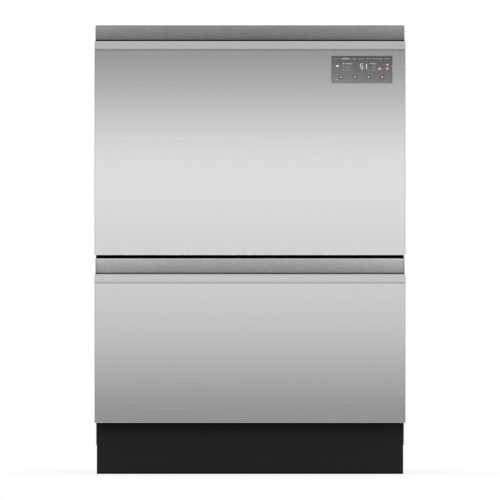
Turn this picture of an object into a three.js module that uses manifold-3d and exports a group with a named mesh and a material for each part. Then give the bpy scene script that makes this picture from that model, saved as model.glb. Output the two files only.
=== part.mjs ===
// A freestanding double-drawer dishwasher: two drawers, one above the other, in one sheet-steel cabinet.
// Each drawer carries its own moulded tub, wash motor, spray arm, filter, dispenser and wire basket, runs out on
// two three-part rails, and is closed from above by a lid that two lifts lower onto the tub's rim.
// Millimetres, +Z up. The front faces -Y, and the origin is the middle of the footprint at floor level.

import * as THREE from 'three';
import { mergeVertices } from 'three/addons/utils/BufferGeometryUtils.js';
import Module from 'manifold-3d';

const wasm = await Module();
wasm.setup();

// ---------------------------------------------------------------- driving dimensions

const WIDTH = 599;
const HEIGHT = 865;
const DEPTH = 573;
const CLEARANCE = 0.3;

// The two drawers. Heights are above the floor: of the front, of its lip, of the scoop, and of the tub's rim.
const UPPER = { name: 'upper', frontBottom: 422.5, lipTop: 835, scoopTop: 865, rim: 794, casingBottom: 428 };
const LOWER = { name: 'lower', frontBottom: 99.5, lipTop: 386.5, scoopTop: 416.5, rim: 412, casingBottom: 103.5 };

// Front: a folded stainless skin with a leaning lip, and the finger scoop behind it.
const SKIN = 1.2;
const LIP_HEIGHT = 17;
const LIP_LEAN = 7;
const FRONT_RETURN = 24;
const SCOOP_WIDTH = 594.6;
const SCOOP_WALL = 1.5;
const SCOOP_BACK = 32;
const SCOOP_DROP = 26;
const SCOOP_RADIUS = 16;
const PANEL = { width: 116.7, height: 52, centreX: 215.4, centreZ: 780, glass: 2.4, module: 17 };

// Cabinet
const CABINET_WIDTH = 594;
const CABINET_FRONT = 34;
const CABINET_TOP = 863;
const CABINET_BOTTOM = 56;
const SHEET = 1;
const WALL_INSIDE = CABINET_WIDTH / 2 - SHEET - 0.4;
const SIDE_BEADS = { heights: [620, 240, 160], middle: 300, length: 400, height: 20 };
const TOP_BEADS = { depths: [190, 315, 440], halfX: 210, half: 9 };
const HOSE_NOTCH = [-275, -205];
const INLET_NOTCH = [190, 262];
const NOTCH_TOP = 132;
const BASE_FLOOR = 72;
const BASE_TOP = 96;
const KICK_SETBACK = 55;
const KICK_TOP = 97;
const FOOT_X = 262;
const FOOT_FRONT = 96;
const FOOT_REAR = 536;
const FOOT_STEM = 78;

// Tub, measured down from the rim's top face
const TUB_FRONT = 64;
const TUB_BACK = 548;
const TUB_HALF_FLANGE = 281;
const MOUTH = { halfX: 262, halfY: 230, radius: 34 };
const TUB_CENTRE = (TUB_FRONT + TUB_BACK) / 2;
const TUB_WALL = 3.5;
const TUB_FLOOR = -252;
const SUMP_FLOOR = -275;
const SUMP_RADIUS = 140;
const SUMP_SIDES = 16;
const DRAWER_BOTTOM = -308;
const PUMP_Z = DRAWER_BOTTOM + 14.5;
const BASKET_LEDGES = [145, 467];

// Rails: the height of their middle, and how far back they start and end
const RAIL_Z = -60;
const RAIL_START = 42;
const RAIL_END = 560;

// Lid, measured up from the rim
const LID_BASE = 7;
const LID_TOP = 34;
const LID_TRAVEL = 14;

// Wire goods
const WIRE = 2;
const BASKET_TOP = -95;
const BASKET_FLOOR = -214;

// ---------------------------------------------------------------- materials

const steel = (color, roughness) => new THREE.MeshStandardMaterial({ color, roughness, metalness: 1 });
const plastic = (color, roughness) => new THREE.MeshStandardMaterial({ color, roughness, metalness: 0 });
const stainless = steel(0xc2c3c4, 0.32);
const scoopSteel = steel(0x9a9b9c, 0.36);
const galvanised = steel(0x9fa3a6, 0.5);
const railSteel = steel(0xb4b7ba, 0.35);
const blackPaint = plastic(0x222324, 0.55);
const greyPlastic = plastic(0x8f9396, 0.5);
const tubPlastic = plastic(0xb9bdc0, 0.45);
const darkPlastic = plastic(0x34373a, 0.5);
const wireCoating = plastic(0x7e8387, 0.35);
const rubber = plastic(0x26282a, 0.8);
const panelGlass = plastic(0x4c4e50, 0.15);

// ---------------------------------------------------------------- solids

const X = new THREE.Vector3(1, 0, 0);
const Y = new THREE.Vector3(0, 1, 0);
const Z = new THREE.Vector3(0, 0, 1);

// A closed three.js geometry as a solid that can be joined and cut.
function solid(geometry) {
  const bare = geometry.index ? geometry.toNonIndexed() : geometry.clone();
  bare.deleteAttribute('normal');
  bare.deleteAttribute('uv');
  const merged = mergeVertices(bare, 1e-4);
  const corners = merged.index.array;
  const triangles = [];
  for (let i = 0; i < corners.length; i += 3) {
    const [a, b, c] = [corners[i], corners[i + 1], corners[i + 2]];
    if (a !== b && b !== c && c !== a) triangles.push(a, b, c);
  }
  const vertProperties = merged.attributes.position.array;
  const made = new wasm.Manifold(new wasm.Mesh({ numProp: 3, vertProperties, triVerts: new Uint32Array(triangles) }));
  if (made.volume() > 0) return made;
  for (let i = 0; i < triangles.length; i += 3) {
    [triangles[i + 1], triangles[i + 2]] = [triangles[i + 2], triangles[i + 1]];
  }
  return new wasm.Manifold(new wasm.Mesh({ numProp: 3, vertProperties, triVerts: new Uint32Array(triangles) }));
}

const join = (...solids) => solids.flat().reduce((whole, next) => whole.add(next));
const cut = (whole, ...cutters) => cutters.flat().reduce((left, cutter) => left.subtract(cutter), whole);
const mirrored = (made) => made.mirror([1, 0, 0]);
const bothSides = (made) => [made, mirrored(made)];

function mesh(name, made, material) {
  const { vertProperties, triVerts } = made.getMesh();
  const geometry = new THREE.BufferGeometry();
  geometry.setAttribute('position', new THREE.BufferAttribute(vertProperties, 3));
  geometry.setIndex(new THREE.BufferAttribute(triVerts, 1));
  geometry.computeVertexNormals();
  const piece = new THREE.Mesh(geometry, material);
  piece.name = name;
  return piece;
}

const outline = (points) => new THREE.Shape(points.map(([a, b]) => new THREE.Vector2(a, b)));

const extruded = (shape, length) =>
  new THREE.ExtrudeGeometry(shape, { depth: length, bevelEnabled: false, curveSegments: 5 });

// A shape drawn in X and Y, between two heights.
const alongZ = (shape, z0, z1) => solid(extruded(shape, z1 - z0).translate(0, 0, z0));

// A profile drawn in Y and Z, between two places across the width.
const alongX = (shape, x0, x1) =>
  solid(extruded(shape, x1 - x0).applyMatrix4(new THREE.Matrix4().makeBasis(Y, Z, X)).translate(x0, 0, 0));

// A profile drawn in X and Z, between two depths.
const alongY = (shape, y0, y1) =>
  solid(extruded(shape, y1 - y0).applyMatrix4(new THREE.Matrix4().makeBasis(X, Z, Y.clone().negate()))
    .translate(0, y1, 0));

const block = ([x0, x1], [y0, y1], [z0, z1]) =>
  solid(new THREE.BoxGeometry(x1 - x0, y1 - y0, z1 - z0).translate((x0 + x1) / 2, (y0 + y1) / 2, (z0 + z1) / 2));

const uprightRod = (radius, x, y, [z0, z1], sides = 12) =>
  solid(new THREE.CylinderGeometry(radius, radius, z1 - z0, sides).rotateX(Math.PI / 2)
    .translate(x, y, (z0 + z1) / 2));

const crossRod = (radius, [x0, x1], y, z, sides = 12) =>
  solid(new THREE.CylinderGeometry(radius, radius, x1 - x0, sides).rotateZ(Math.PI / 2)
    .translate((x0 + x1) / 2, y, z));

const depthRod = (radius, x, [y0, y1], z, sides = 12) =>
  solid(new THREE.CylinderGeometry(radius, radius, y1 - y0, sides).translate(x, (y0 + y1) / 2, z));

// A profile of [radius, height] pairs turned about the upright axis through x and y.
const turned = (profile, x, y, sides = 24) => {
  const points = profile.map(([r, z]) => new THREE.Vector2(r, z));
  return solid(new THREE.LatheGeometry(points, sides).rotateX(Math.PI / 2).translate(x, y, 0));
};

// A rounded rectangle as a ring of points, anticlockwise from above.
function roundedRing(halfX, halfY, radius, centreY, steps = 3) {
  const ring = [];
  for (let corner = 0; corner < 4; corner++) {
    const cx = (corner === 0 || corner === 3 ? 1 : -1) * (halfX - radius);
    const cy = (corner < 2 ? 1 : -1) * (halfY - radius);
    for (let i = 0; i <= steps; i++) {
      const angle = (corner + i / steps) * (Math.PI / 2);
      ring.push([cx + radius * Math.cos(angle), centreY + cy + radius * Math.sin(angle)]);
    }
  }
  return ring;
}

// A level closed loop of square bar along a rounded rectangle.
function barLoop(halfX, halfY, radius, centre, z, half) {
  const loop = outline(roundedRing(halfX + half, halfY + half, radius + half, 0));
  loop.holes.push(outline(roundedRing(halfX - half, halfY - half, radius - half, 0)));
  return alongZ(loop, z - half, z + half).translate([centre[0], centre[1], 0]);
}

// A solid through level sections, each { z, ring }, all with as many points.
function lofted(sections) {
  const count = sections[0].ring.length;
  const positions = sections.flatMap(({ z, ring }) => ring.flatMap(([x, y]) => [x, y, z]));
  const index = [];
  for (let level = 0; level < sections.length - 1; level++) {
    for (let i = 0; i < count; i++) {
      const a = level * count + i;
      const b = level * count + ((i + 1) % count);
      index.push(a, b, b + count, a, b + count, a + count);
    }
  }
  const top = (sections.length - 1) * count;
  for (let i = 1; i < count - 1; i++) {
    index.push(0, i + 1, i);
    index.push(top, top + i, top + i + 1);
  }
  const geometry = new THREE.BufferGeometry();
  geometry.setAttribute('position', new THREE.Float32BufferAttribute(positions, 3));
  geometry.setIndex(index);
  return solid(geometry);
}

// An open path of [a, b] points thickened to its left into a strip of sheet.
function strip(path, thickness) {
  const offset = path.map(([a, b], i) => {
    const before = path[Math.max(i - 1, 0)];
    const after = path[Math.min(i + 1, path.length - 1)];
    const here = path[i];
    const normal = ([p, q], [r, s]) => new THREE.Vector2(q - s, r - p).normalize();
    const n0 = i > 0 ? normal(before, here) : normal(here, after);
    const n1 = i < path.length - 1 ? normal(here, after) : n0;
    const middle = n0.clone().add(n1).normalize();
    const reach = thickness / middle.dot(n0);
    return [a + middle.x * reach, b + middle.y * reach];
  });
  return outline([...path, ...offset.reverse()]);
}

// A wire's centre line: straight runs whose corners are rounded with a few short steps.
class WirePath extends THREE.Curve {
  constructor(corners, bend, steps = 2) {
    super();
    this.points = corners.flatMap((here, i) => {
      if (i === 0 || i === corners.length - 1 || bend === 0) return [here];
      const back = corners[i - 1].clone().sub(here).normalize();
      const on = corners[i + 1].clone().sub(here).normalize();
      const half = back.angleTo(on) / 2;
      const centre = here.clone().addScaledVector(back.clone().add(on).normalize(), bend / Math.sin(half));
      const start = here.clone().addScaledVector(back, bend / Math.tan(half)).sub(centre);
      const end = here.clone().addScaledVector(on, bend / Math.tan(half)).sub(centre);
      const sweep = start.angleTo(end);
      return Array.from({ length: steps + 1 }, (_, k) => {
        const t = k / steps;
        return start.clone().multiplyScalar(Math.sin((1 - t) * sweep))
          .addScaledVector(end, Math.sin(t * sweep)).divideScalar(Math.sin(sweep)).add(centre);
      });
    });
  }

  getPoint(t, target = new THREE.Vector3()) {
    return target.copy(this.points[Math.round(t * (this.points.length - 1))]);
  }

  getSpacedPoints() {
    return this.points;
  }

  getTangentAt(u, target = new THREE.Vector3()) {
    const i = Math.round(u * (this.points.length - 1));
    const back = this.points[Math.max(i - 1, 0)];
    const on = this.points[Math.min(i + 1, this.points.length - 1)];
    const here = this.points[i];
    target.copy(on).sub(here).normalize();
    const arriving = here.clone().sub(back).normalize();
    return target.add(arriving).normalize();
  }
}

// A square bar bent along a path of [x, y, z] corners, which stands in for a round wire.
function wire(corners, bend = 0, half = 0.7 * WIRE) {
  const path = new WirePath(corners.map(([x, y, z]) => new THREE.Vector3(x, y, z)), bend);
  const section = outline([[-half, -half], [half, -half], [half, half], [-half, half]]);
  return solid(new THREE.ExtrudeGeometry(section, { extrudePath: path, steps: path.points.length - 1 }));
}

const evenly = (count, first, last) =>
  Array.from({ length: count }, (_, i) => first + ((last - first) * i) / (count - 1));

// ---------------------------------------------------------------- drawer front

// The stainless skin: face, leaning lip with a hem, side returns and a bottom return, open at the back.
function frontPanel(drawer) {
  const bottom = drawer.frontBottom - drawer.rim;
  const lip = drawer.lipTop - drawer.rim;
  const crease = lip - LIP_HEIGHT;
  const hem = new THREE.Vector2(LIP_HEIGHT, -LIP_LEAN).setLength(2 * SKIN);
  const outer = alongX(
    outline([[0, bottom], [0, crease], [LIP_LEAN, lip], [FRONT_RETURN, lip], [FRONT_RETURN, bottom]]),
    -WIDTH / 2, WIDTH / 2);
  const inner = alongX(
    outline([
      [SKIN, bottom + SKIN], [SKIN, crease + hem.y - 1], [hem.x, crease + hem.y],
      [LIP_LEAN + hem.x + 2, lip + hem.y + (2 * LIP_HEIGHT) / LIP_LEAN],
      [FRONT_RETURN + 5, lip + 5], [FRONT_RETURN + 5, bottom + SKIN]]),
    SKIN - WIDTH / 2, WIDTH / 2 - SKIN);
  const skin = cut(outer, inner);
  if (drawer !== UPPER) return skin;
  const x = [PANEL.centreX - PANEL.width / 2 - CLEARANCE, PANEL.centreX + PANEL.width / 2 + CLEARANCE];
  const z = PANEL.centreZ - drawer.rim;
  return cut(skin, block(x, [-1, SKIN + 1], [z - PANEL.height / 2 - CLEARANCE, z + PANEL.height / 2 + CLEARANCE]));
}

// The finger scoop: one bent strip behind the lip, with an end plate at each side.
function handleScoop(drawer) {
  const lip = drawer.lipTop - drawer.rim;
  const top = drawer.scoopTop - drawer.rim;
  const face = SCOOP_BACK - SCOOP_WALL;
  const floor = lip - SCOOP_DROP;
  const bend = evenly(6, -Math.PI / 2, 0).map((angle) => [
    face - SCOOP_RADIUS + SCOOP_RADIUS * Math.cos(angle),
    floor + SCOOP_RADIUS + SCOOP_RADIUS * Math.sin(angle),
  ]);
  const front = SKIN + CLEARANCE + SCOOP_WALL;
  const path = [[front, floor + 7], [front, floor], ...bend, [face, top]];
  const trough = alongX(strip(path.reverse(), SCOOP_WALL), 1 - SCOOP_WIDTH / 2, SCOOP_WIDTH / 2 - 1);
  const end = alongX(
    outline([
      [front, floor - 1], [face + 1, floor - 1], [face + 1, top - 0.5], [face - 3, top - 0.5],
      [LIP_LEAN + 5, lip + 2], [front + 1, lip - LIP_HEIGHT - 2]]),
    SCOOP_WIDTH / 2 - SCOOP_WALL, SCOOP_WIDTH / 2);
  return join(trough, bothSides(end));
}

// The moulded box behind the front, which closes the drawer and holds its electronics.
function frontCasing(drawer) {
  const bottom = drawer.casingBottom - drawer.rim;
  const shelf = drawer.lipTop - drawer.rim - SCOOP_DROP - SCOOP_WALL - CLEARANCE;
  const back = TUB_FRONT - CLEARANCE;
  const behindScoop = SCOOP_BACK + 0.5;
  const fairing = new THREE.QuadraticBezierCurve(
    new THREE.Vector2(38, 50), new THREE.Vector2(45, 6), new THREE.Vector2(back, 0));
  const crown = drawer === UPPER
    ? [[behindScoop, 50], ...fairing.getPoints(6).map(({ x, y }) => [x, y])]
    : [[behindScoop, 0], [back, 0]];
  const box = alongX(outline([[27, bottom], [27, shelf], [behindScoop, shelf], ...crown, [back, bottom]]), -279, 279);
  const flange = block([-296, 296], [26, 30], [bottom + 4, shelf - 1]);
  const cavity = block([-276, 276], [20, back - 3], [bottom + 4, shelf - 3]);
  const ribs = evenly(3, -140, 140).map((x) => block([x - 1.5, x + 1.5], [40, back - 1], [bottom + 2, shelf - 2]));
  return join(cut(join(box, flange), cavity), ribs);
}

// The touch display: a glass tile flush with the skin and the module behind it.
function controlPanel() {
  const x = [PANEL.centreX - PANEL.width / 2, PANEL.centreX + PANEL.width / 2];
  const z = PANEL.centreZ - UPPER.rim;
  const tile = block(x, [0, PANEL.glass], [z - PANEL.height / 2, z + PANEL.height / 2]);
  const housing = block([x[0] + 6, x[1] - 6], [PANEL.glass - 0.5, PANEL.module], [z - PANEL.height / 2 + 4, z + 20]);
  const plug = block([x[0] + 20, x[0] + 52], [PANEL.module - 1, PANEL.module + 5], [z - 8, z + 4]);
  return join(tile, housing, plug);
}

// ---------------------------------------------------------------- tub and what is in it

const mouthSection = (z, inset, grow = 0, radius = MOUTH.radius) => ({
  z, ring: roundedRing(MOUTH.halfX - inset + grow, MOUTH.halfY - inset + grow, radius + grow, TUB_CENTRE),
});

// The wash chamber's hollow: drafted walls and a rounded foot. It is made larger or smaller by grow.
function chamber(grow, top) {
  const floor = TUB_FLOOR - grow;
  return lofted([
    mouthSection(floor, 26, grow), mouthSection(floor + 6, 15, grow), mouthSection(floor + 17, 9, grow),
    mouthSection(top, 0, grow)]);
}

function tub() {
  const halfDepth = (TUB_BACK - TUB_FRONT) / 2;
  const edge = outline(roundedRing(TUB_HALF_FLANGE, halfDepth, 12, TUB_CENTRE));
  const rim = alongZ(edge, -3, 0);
  const skirtOuter = alongZ(edge, -12, -1);
  const skirtInner = alongZ(outline(roundedRing(TUB_HALF_FLANGE - 2.5, halfDepth - 2.5, 10, TUB_CENTRE)), -13, -2);
  const seat = block([255, 283], [TUB_FRONT + 20, TUB_BACK - 20], [RAIL_Z - 24, RAIL_Z + 24]);
  const seatPockets = evenly(4, TUB_FRONT + 76, TUB_BACK - 76).map((y) =>
    block([267, 280], [y - 50, y + 50], [RAIL_Z - 25, RAIL_Z + 21]));
  const railSeat = cut(seat, seatPockets);
  const sideRibs = evenly(2, TUB_FRONT + 150, TUB_BACK - 150).map((y) =>
    block([240, 268], [y - 1.5, y + 1.5], [TUB_FLOOR + 10, RAIL_Z - 22]));
  const sumpWall = turned(
    [[0, SUMP_FLOOR - 3.5], [132, SUMP_FLOOR - 3.5], [SUMP_RADIUS + 3.5, TUB_FLOOR - 8],
      [SUMP_RADIUS + 3.5, TUB_FLOOR], [0, TUB_FLOOR]], 0, TUB_CENTRE, SUMP_SIDES);
  const sumpHollow = turned(
    [[0, SUMP_FLOOR], [126, SUMP_FLOOR], [132, TUB_FLOOR - 3.1],
      [SUMP_RADIUS, TUB_FLOOR - 3.1], [SUMP_RADIUS, TUB_FLOOR + 2], [0, TUB_FLOOR + 2]], 0, TUB_CENTRE, SUMP_SIDES);
  const shell = cut(
    join(chamber(TUB_WALL, -1), rim, cut(skirtOuter, skirtInner), bothSides(join(railSeat, sideRibs)), sumpWall),
    chamber(0, 2), sumpHollow);
  const post = turned([[0, SUMP_FLOOR - 1], [16, SUMP_FLOOR - 1], [11, TUB_FLOOR], [5, TUB_FLOOR],
    [5, TUB_FLOOR + 20], [0, TUB_FLOOR + 20]], 0, TUB_CENTRE, 10);
  const ledges = BASKET_LEDGES.map((y) =>
    block([232, 256], [y - 14, y + 14], [BASKET_FLOOR - 9, BASKET_FLOOR - WIRE - CLEARANCE]));
  return join(shell, post, bothSides(join(ledges)));
}

function washMotor() {
  const top = SUMP_FLOOR - 3.5 - CLEARANCE;
  const stator = turned(
    [[0, DRAWER_BOTTOM], [60, DRAWER_BOTTOM], [66, DRAWER_BOTTOM + 6], [66, top - 9], [78, top - 9], [78, top],
      [0, top]],
    0, TUB_CENTRE, 14);
  const ears = evenly(3, 0, 240).map((degrees) =>
    block([70, 92], [-9, 9], [top - 5, top]).rotate([0, 0, degrees - 30]).translate([0, TUB_CENTRE, 0]));
  const drainPump = depthRod(14, -70, [TUB_CENTRE + 20, TUB_CENTRE + 92], PUMP_Z, 12);
  const outlet = depthRod(9, -70, [TUB_CENTRE + 80, TUB_CENTRE + 112], PUMP_Z, 8);
  return join(stator, ears, drainPump, outlet);
}

// The perforated plate over the sump, with the lift-out drain filter's cup and grip on one side.
function filterPlate() {
  const top = TUB_FLOOR - 0.2;
  const edge = SUMP_RADIUS - CLEARANCE;
  const plate = turned(
    [[15, top - 2.6], [edge, top - 2.6], [edge, top], [15, top], [15, top - 2.6]], 0, 0, SUMP_SIDES);
  const slots = evenly(9, -124, 124).map((degrees) =>
    block([58, 124], [-2.5, 2.5], [top - 5, top + 5]).rotate([0, 0, degrees]));
  const cup = turned([[0, top - 18], [22, top - 18], [26, top - 1], [26, top + 2], [0, top + 2]], -92, 0, 10);
  const grip = block([-112, -72], [-3, 3], [top + 1, top + 10]);
  return join(cut(plate, slots), cup, grip).translate([0, TUB_CENTRE, 0]);
}

const SPRAY_REACH = 204;

// Two curved blades on a hub that turns on the tub's post.
function sprayArm() {
  const reach = SPRAY_REACH;
  const blades = new THREE.Shape();
  blades.moveTo(0, -22);
  for (const way of [1, -1]) {
    blades.quadraticCurveTo(way * reach * 0.55, -30 * way, way * (reach - 14), -2 * way);
    blades.quadraticCurveTo(way * (reach + 6), 10 * way, way * (reach - 12), 22 * way);
    blades.quadraticCurveTo(way * reach * 0.5, 6 * way, 0, 22 * way);
  }
  const arm = solid(new THREE.ExtrudeGeometry(blades, {
    depth: 8, curveSegments: 3, bevelEnabled: true, bevelThickness: 2, bevelSize: 2, bevelSegments: 1,
  }).translate(0, 0, 2));
  const jets = [80, 165].map((x, i) => block([x - 8, x + 8], [-1 + i * 7, 6 + i * 7], [11, 14]));
  const hub = turned([[0, -12], [20, -12], [28, -4], [28, 14], [16, 18], [0, 18]], 0, 0, 12);
  const bore = uprightRod(6, 0, 0, [-13, 8.5], 8);
  return cut(join(arm, jets, jets.map((jet) => jet.rotate([0, 0, 180])), hub), bore);
}

// The dispenser on the tub's front wall: detergent well, rinse-aid cap and the ears of the door's hinge.
const DISPENSER = { hingeX: -70, hingeY: 102, face: 98, bottom: -86, top: -14 };

function dispenser() {
  const { hingeX, hingeY, face, bottom, top } = DISPENSER;
  const rough = block([-80, 76], [60, face], [bottom, top]);
  const body = rough.intersect(chamber(-2 * CLEARANCE, 0));
  const well = block([-60, -4], [84, face + 2], [bottom + 10, top - 10]);
  const chute = block([-60, -4], [88, face + 2], [bottom + 5, bottom + 12]);
  const cap = depthRod(17, 40, [face - 2, face + 6], -50, 12);
  const grip = block([25, 55], [face + 4, face + 10], [-52.5, -47.5]);
  const ears = [bottom, top - 4].map((z) => block([hingeX - 5, hingeX + 4], [face - 3, hingeY + 5], [z, z + 4]));
  const pinHoles = uprightRod(2.4, hingeX, hingeY, [bottom - 1, top + 1], 8);
  return cut(join(cut(body, well, chute), cap, grip, ears), pinHoles);
}

function dispenserDoor() {
  const low = DISPENSER.bottom + 4.5;
  const high = DISPENSER.top - 4.5;
  const leaf = block([0, 72], [-3, -0.4], [low + 1, high - 1]);
  const barrel = uprightRod(3, 0, 0, [low, high], 8);
  const pin = uprightRod(1.8, 0, 0, [DISPENSER.bottom + 0.5, DISPENSER.top - 0.5], 8);
  const latch = block([66, 71], [-1, 4], [-56, -44]);
  return join(leaf, barrel, pin, latch);
}

// ---------------------------------------------------------------- wire goods

const BASKET = { halfX: 245, front: 86, back: 526, taper: 8, bend: 16, drop: 2.4 };
const TINES = { rows: [-86, 0, 86], front: 196, back: 476, height: 70 };
const RACK_RODS = [128, 482];
const RACK_REACH = 84;
const RACK_HINGE = { x: BASKET.halfX - 8.5, z: BASKET_TOP + 6.5 };

function basket() {
  const { halfX, front, back, taper, bend, drop } = BASKET;
  const floor = BASKET_FLOOR;
  const across = evenly(5, front + 46, back - 46).map((y) => wire(
    [[-halfX, y, BASKET_TOP], [taper - halfX, y, floor], [halfX - taper, y, floor], [halfX, y, BASKET_TOP]], bend));
  const along = evenly(5, -172, 172).map((x) => wire([
    [x, front, BASKET_TOP], [x, front + taper, floor + drop], [x, back - taper, floor + drop], [x, back, BASKET_TOP],
  ], bend));
  const loop = barLoop(halfX, (back - front) / 2, 28, [0, (front + back) / 2], BASKET_TOP, 0.8 * WIRE);
  const tines = TINES.rows.flatMap((x) => evenly(5, TINES.front, TINES.back).map((y) =>
    wire([[x, y, floor + drop], [x, y, floor + TINES.height]])));
  const eyes = RACK_RODS.map((y) => cut(
    block([RACK_HINGE.x - 4.5, halfX + 1], [y - 3, y + 3], [BASKET_TOP - 1, RACK_HINGE.z + 4.5]),
    depthRod(3.1, RACK_HINGE.x, [y - 4, y + 4], RACK_HINGE.z, 6)));
  return join(across, along, loop, tines, bothSides(join(eyes)));
}

// A fold-up shelf for cups, drawn about its hinge rod, reaching inwards from the right-hand wall.
function cupRack() {
  const [first, last] = RACK_RODS;
  const frame = barLoop(RACK_REACH / 2, (last - first) / 2 + 9, 6, [-RACK_REACH / 2, (first + last) / 2], 0, 0.8 * WIRE);
  const bars = evenly(4, first + 60, last - 60).map((y) => wire([[0, y, 0], [-RACK_REACH, y, 0]]));
  return join(frame, bars);
}

// The cutlery basket: two open cells between slotted walls, with a bridge handle.
const CUTLERY = { halfX: 108, front: 107, back: 167, floor: BASKET_FLOOR + 6, top: -104 };

function cutleryBasket() {
  const { halfX, front, back, floor, top } = CUTLERY;
  const shell = block([-halfX, halfX], [front, back], [floor, top]);
  const cells = [[2 - halfX, -1.5], [1.5, halfX - 2]].map((x) => block(x, [front + 2, back - 2], [floor + 2, top + 1]));
  const slots = evenly(5, -86, 86).map((x) => block([x - 13, x + 13], [front - 1, back + 1], [floor + 14, top - 16]));
  const walls = cut(shell, cells, slots);
  const partition = block([-1.5, 1.5], [front + 1, back - 1], [floor + 1, top + 4]);
  const handle = block([-26, 26], [(front + back) / 2 - 3, (front + back) / 2 + 3], [top - 2, top + 8]);
  return join(walls, partition, handle);
}

// ---------------------------------------------------------------- rails

// One member of a ball-bearing rail: a channel, its web at x and its flanges reaching towards the middle.
function railMember(web, lips, halfHeight) {
  const turn = Math.sign(lips - web) * 1.2;
  return outline([
    [web, -halfHeight], [lips, -halfHeight], [lips, 1.2 - halfHeight], [web + turn, 1.2 - halfHeight],
    [web + turn, halfHeight - 1.2], [lips, halfHeight - 1.2], [lips, halfHeight], [web, halfHeight]]);
}

const RAIL_PARTS = {
  cabinet: alongY(railMember(WALL_INSIDE, 286.4, 22.5), RAIL_START, RAIL_END),
  middle: alongY(railMember(293.8, 286.2, 18), RAIL_START + 4, RAIL_END - 4),
  drawer: alongY(railMember(283.3, 291.4, 13), RAIL_START + 6, RAIL_END - 8),
};

// ---------------------------------------------------------------- lid

// The lid: a moulded pan with a raised rim below, waffle pockets above, and the four pins the lifts hold.
const LID_PINS = { front: 220, rear: 392, z: 24, radius: 4 };

function lid() {
  const halfY = (TUB_BACK - TUB_FRONT) / 2 - 2;
  const level = (z, halfX, inset, radius) => ({ z, ring: roundedRing(halfX, halfY - inset, radius, TUB_CENTRE, 2) });
  const plate = lofted([
    level(LID_BASE, 276, 4, 20), level(LID_BASE + 6, 280, 0, 24),
    level(LID_TOP - 4, 280, 0, 24), level(LID_TOP, 276, 4, 20)]);
  const dome = lofted([level(LID_BASE - 1, 258, 22, 18), level(LID_BASE + 11, 248, 32, 12)]);
  const pockets = evenly(3, -176, 176).flatMap((x) => evenly(2, TUB_CENTRE - 108, TUB_CENTRE + 108).map((y) =>
    block([x - 82, x + 82], [y - 102, y + 102], [LID_BASE + 14, LID_TOP + 1])));
  const pins = [LID_PINS.front, LID_PINS.rear].map((y) => crossRod(LID_PINS.radius, [276, 291], y, LID_PINS.z, 8));
  return join(cut(plate, dome, pockets), bothSides(join(pins)));
}

// The rubber ring under the lid that closes on the tub's rim: a seat and a drawn-in sealing lip.
function lidSeal() {
  const halfY = (TUB_BACK - TUB_FRONT) / 2;
  const outer = lofted([
    { z: CLEARANCE, ring: roundedRing(273, halfY - 9, 22, TUB_CENTRE) },
    { z: LID_BASE - CLEARANCE, ring: roundedRing(270, halfY - 12, 20, TUB_CENTRE) }]);
  const inner = lofted([
    { z: 0, ring: roundedRing(270.5, halfY - 11.5, 20, TUB_CENTRE) },
    { z: 3, ring: roundedRing(264, halfY - 18, 18, TUB_CENTRE) },
    { z: LID_BASE, ring: roundedRing(264, halfY - 18, 18, TUB_CENTRE) }]);
  return cut(outer, inner);
}

// A lift: a channel on the cabinet's wall with two upright slots for the lid's pins, and its gear motor.
function lidLift() {
  const slotTop = LID_PINS.z + LID_PINS.radius + LID_TRAVEL + 0.5;
  const slotFoot = LID_PINS.z - LID_PINS.radius - 0.5;
  const channel = block([282.5, WALL_INSIDE], [LID_PINS.front - 22, LID_PINS.rear + 22], [4, 50]);
  const hollow = block([285.5, 293.5], [LID_PINS.front + 16, LID_PINS.rear - 16], [3, 40]);
  const slots = [LID_PINS.front, LID_PINS.rear].map((y) =>
    block([282, 293], [y - LID_PINS.radius - 0.5, y + LID_PINS.radius + 0.5], [slotFoot, slotTop]));
  const motor = depthRod(6, 289, [LID_PINS.rear + 20, LID_PINS.rear + 68], 30, 12);
  return join(cut(channel, hollow, slots), motor);
}

// ---------------------------------------------------------------- drain hose

// The convoluted hose from the drain pump to the cabinet's back, folded in three passes under the tub.
const HOSE_RADIUS = 8;
const HOSE_SIDES = 6;
const HOSE_BACK = 561;
const HOSE_OUTLETS = {
  upper: [[-200, 515, -287], [-246, 540, -289], [-258, HOSE_BACK - 1, -300], [-258, HOSE_BACK, -340],
    [-258, HOSE_BACK, -480], [-258, HOSE_BACK, -600], [-258, HOSE_BACK, -672]],
  lower: [[-190, 515, -287], [-222, 540, -290], [-224, 568, -291]],
};

function drainHose(outlet) {
  const z = PUMP_Z;
  const start = TUB_CENTRE + 113;
  const curve = new THREE.CatmullRomCurve3([
    [-70, start, z], [-70, start + 12, z], [-40, start + 30, z + 2], [60, start + 34, z + 4], [170, start + 40, z + 4],
    [196, start + 64, z + 4], [170, start + 86, z + 4], [40, start + 88, z + 4], [-110, start + 90, z + 4],
    ...outlet,
  ].map((p) => new THREE.Vector3(...p)));
  const section = outline(Array.from({ length: HOSE_SIDES }, (_, i) => [
    HOSE_RADIUS * Math.cos((i * 2 * Math.PI) / HOSE_SIDES), HOSE_RADIUS * Math.sin((i * 2 * Math.PI) / HOSE_SIDES)]));
  const steps = Math.round(curve.getLength() / (6 * HOSE_RADIUS));
  return solid(new THREE.ExtrudeGeometry(section, { extrudePath: curve, steps }));
}

// ---------------------------------------------------------------- one drawer with its lid and rails

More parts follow.
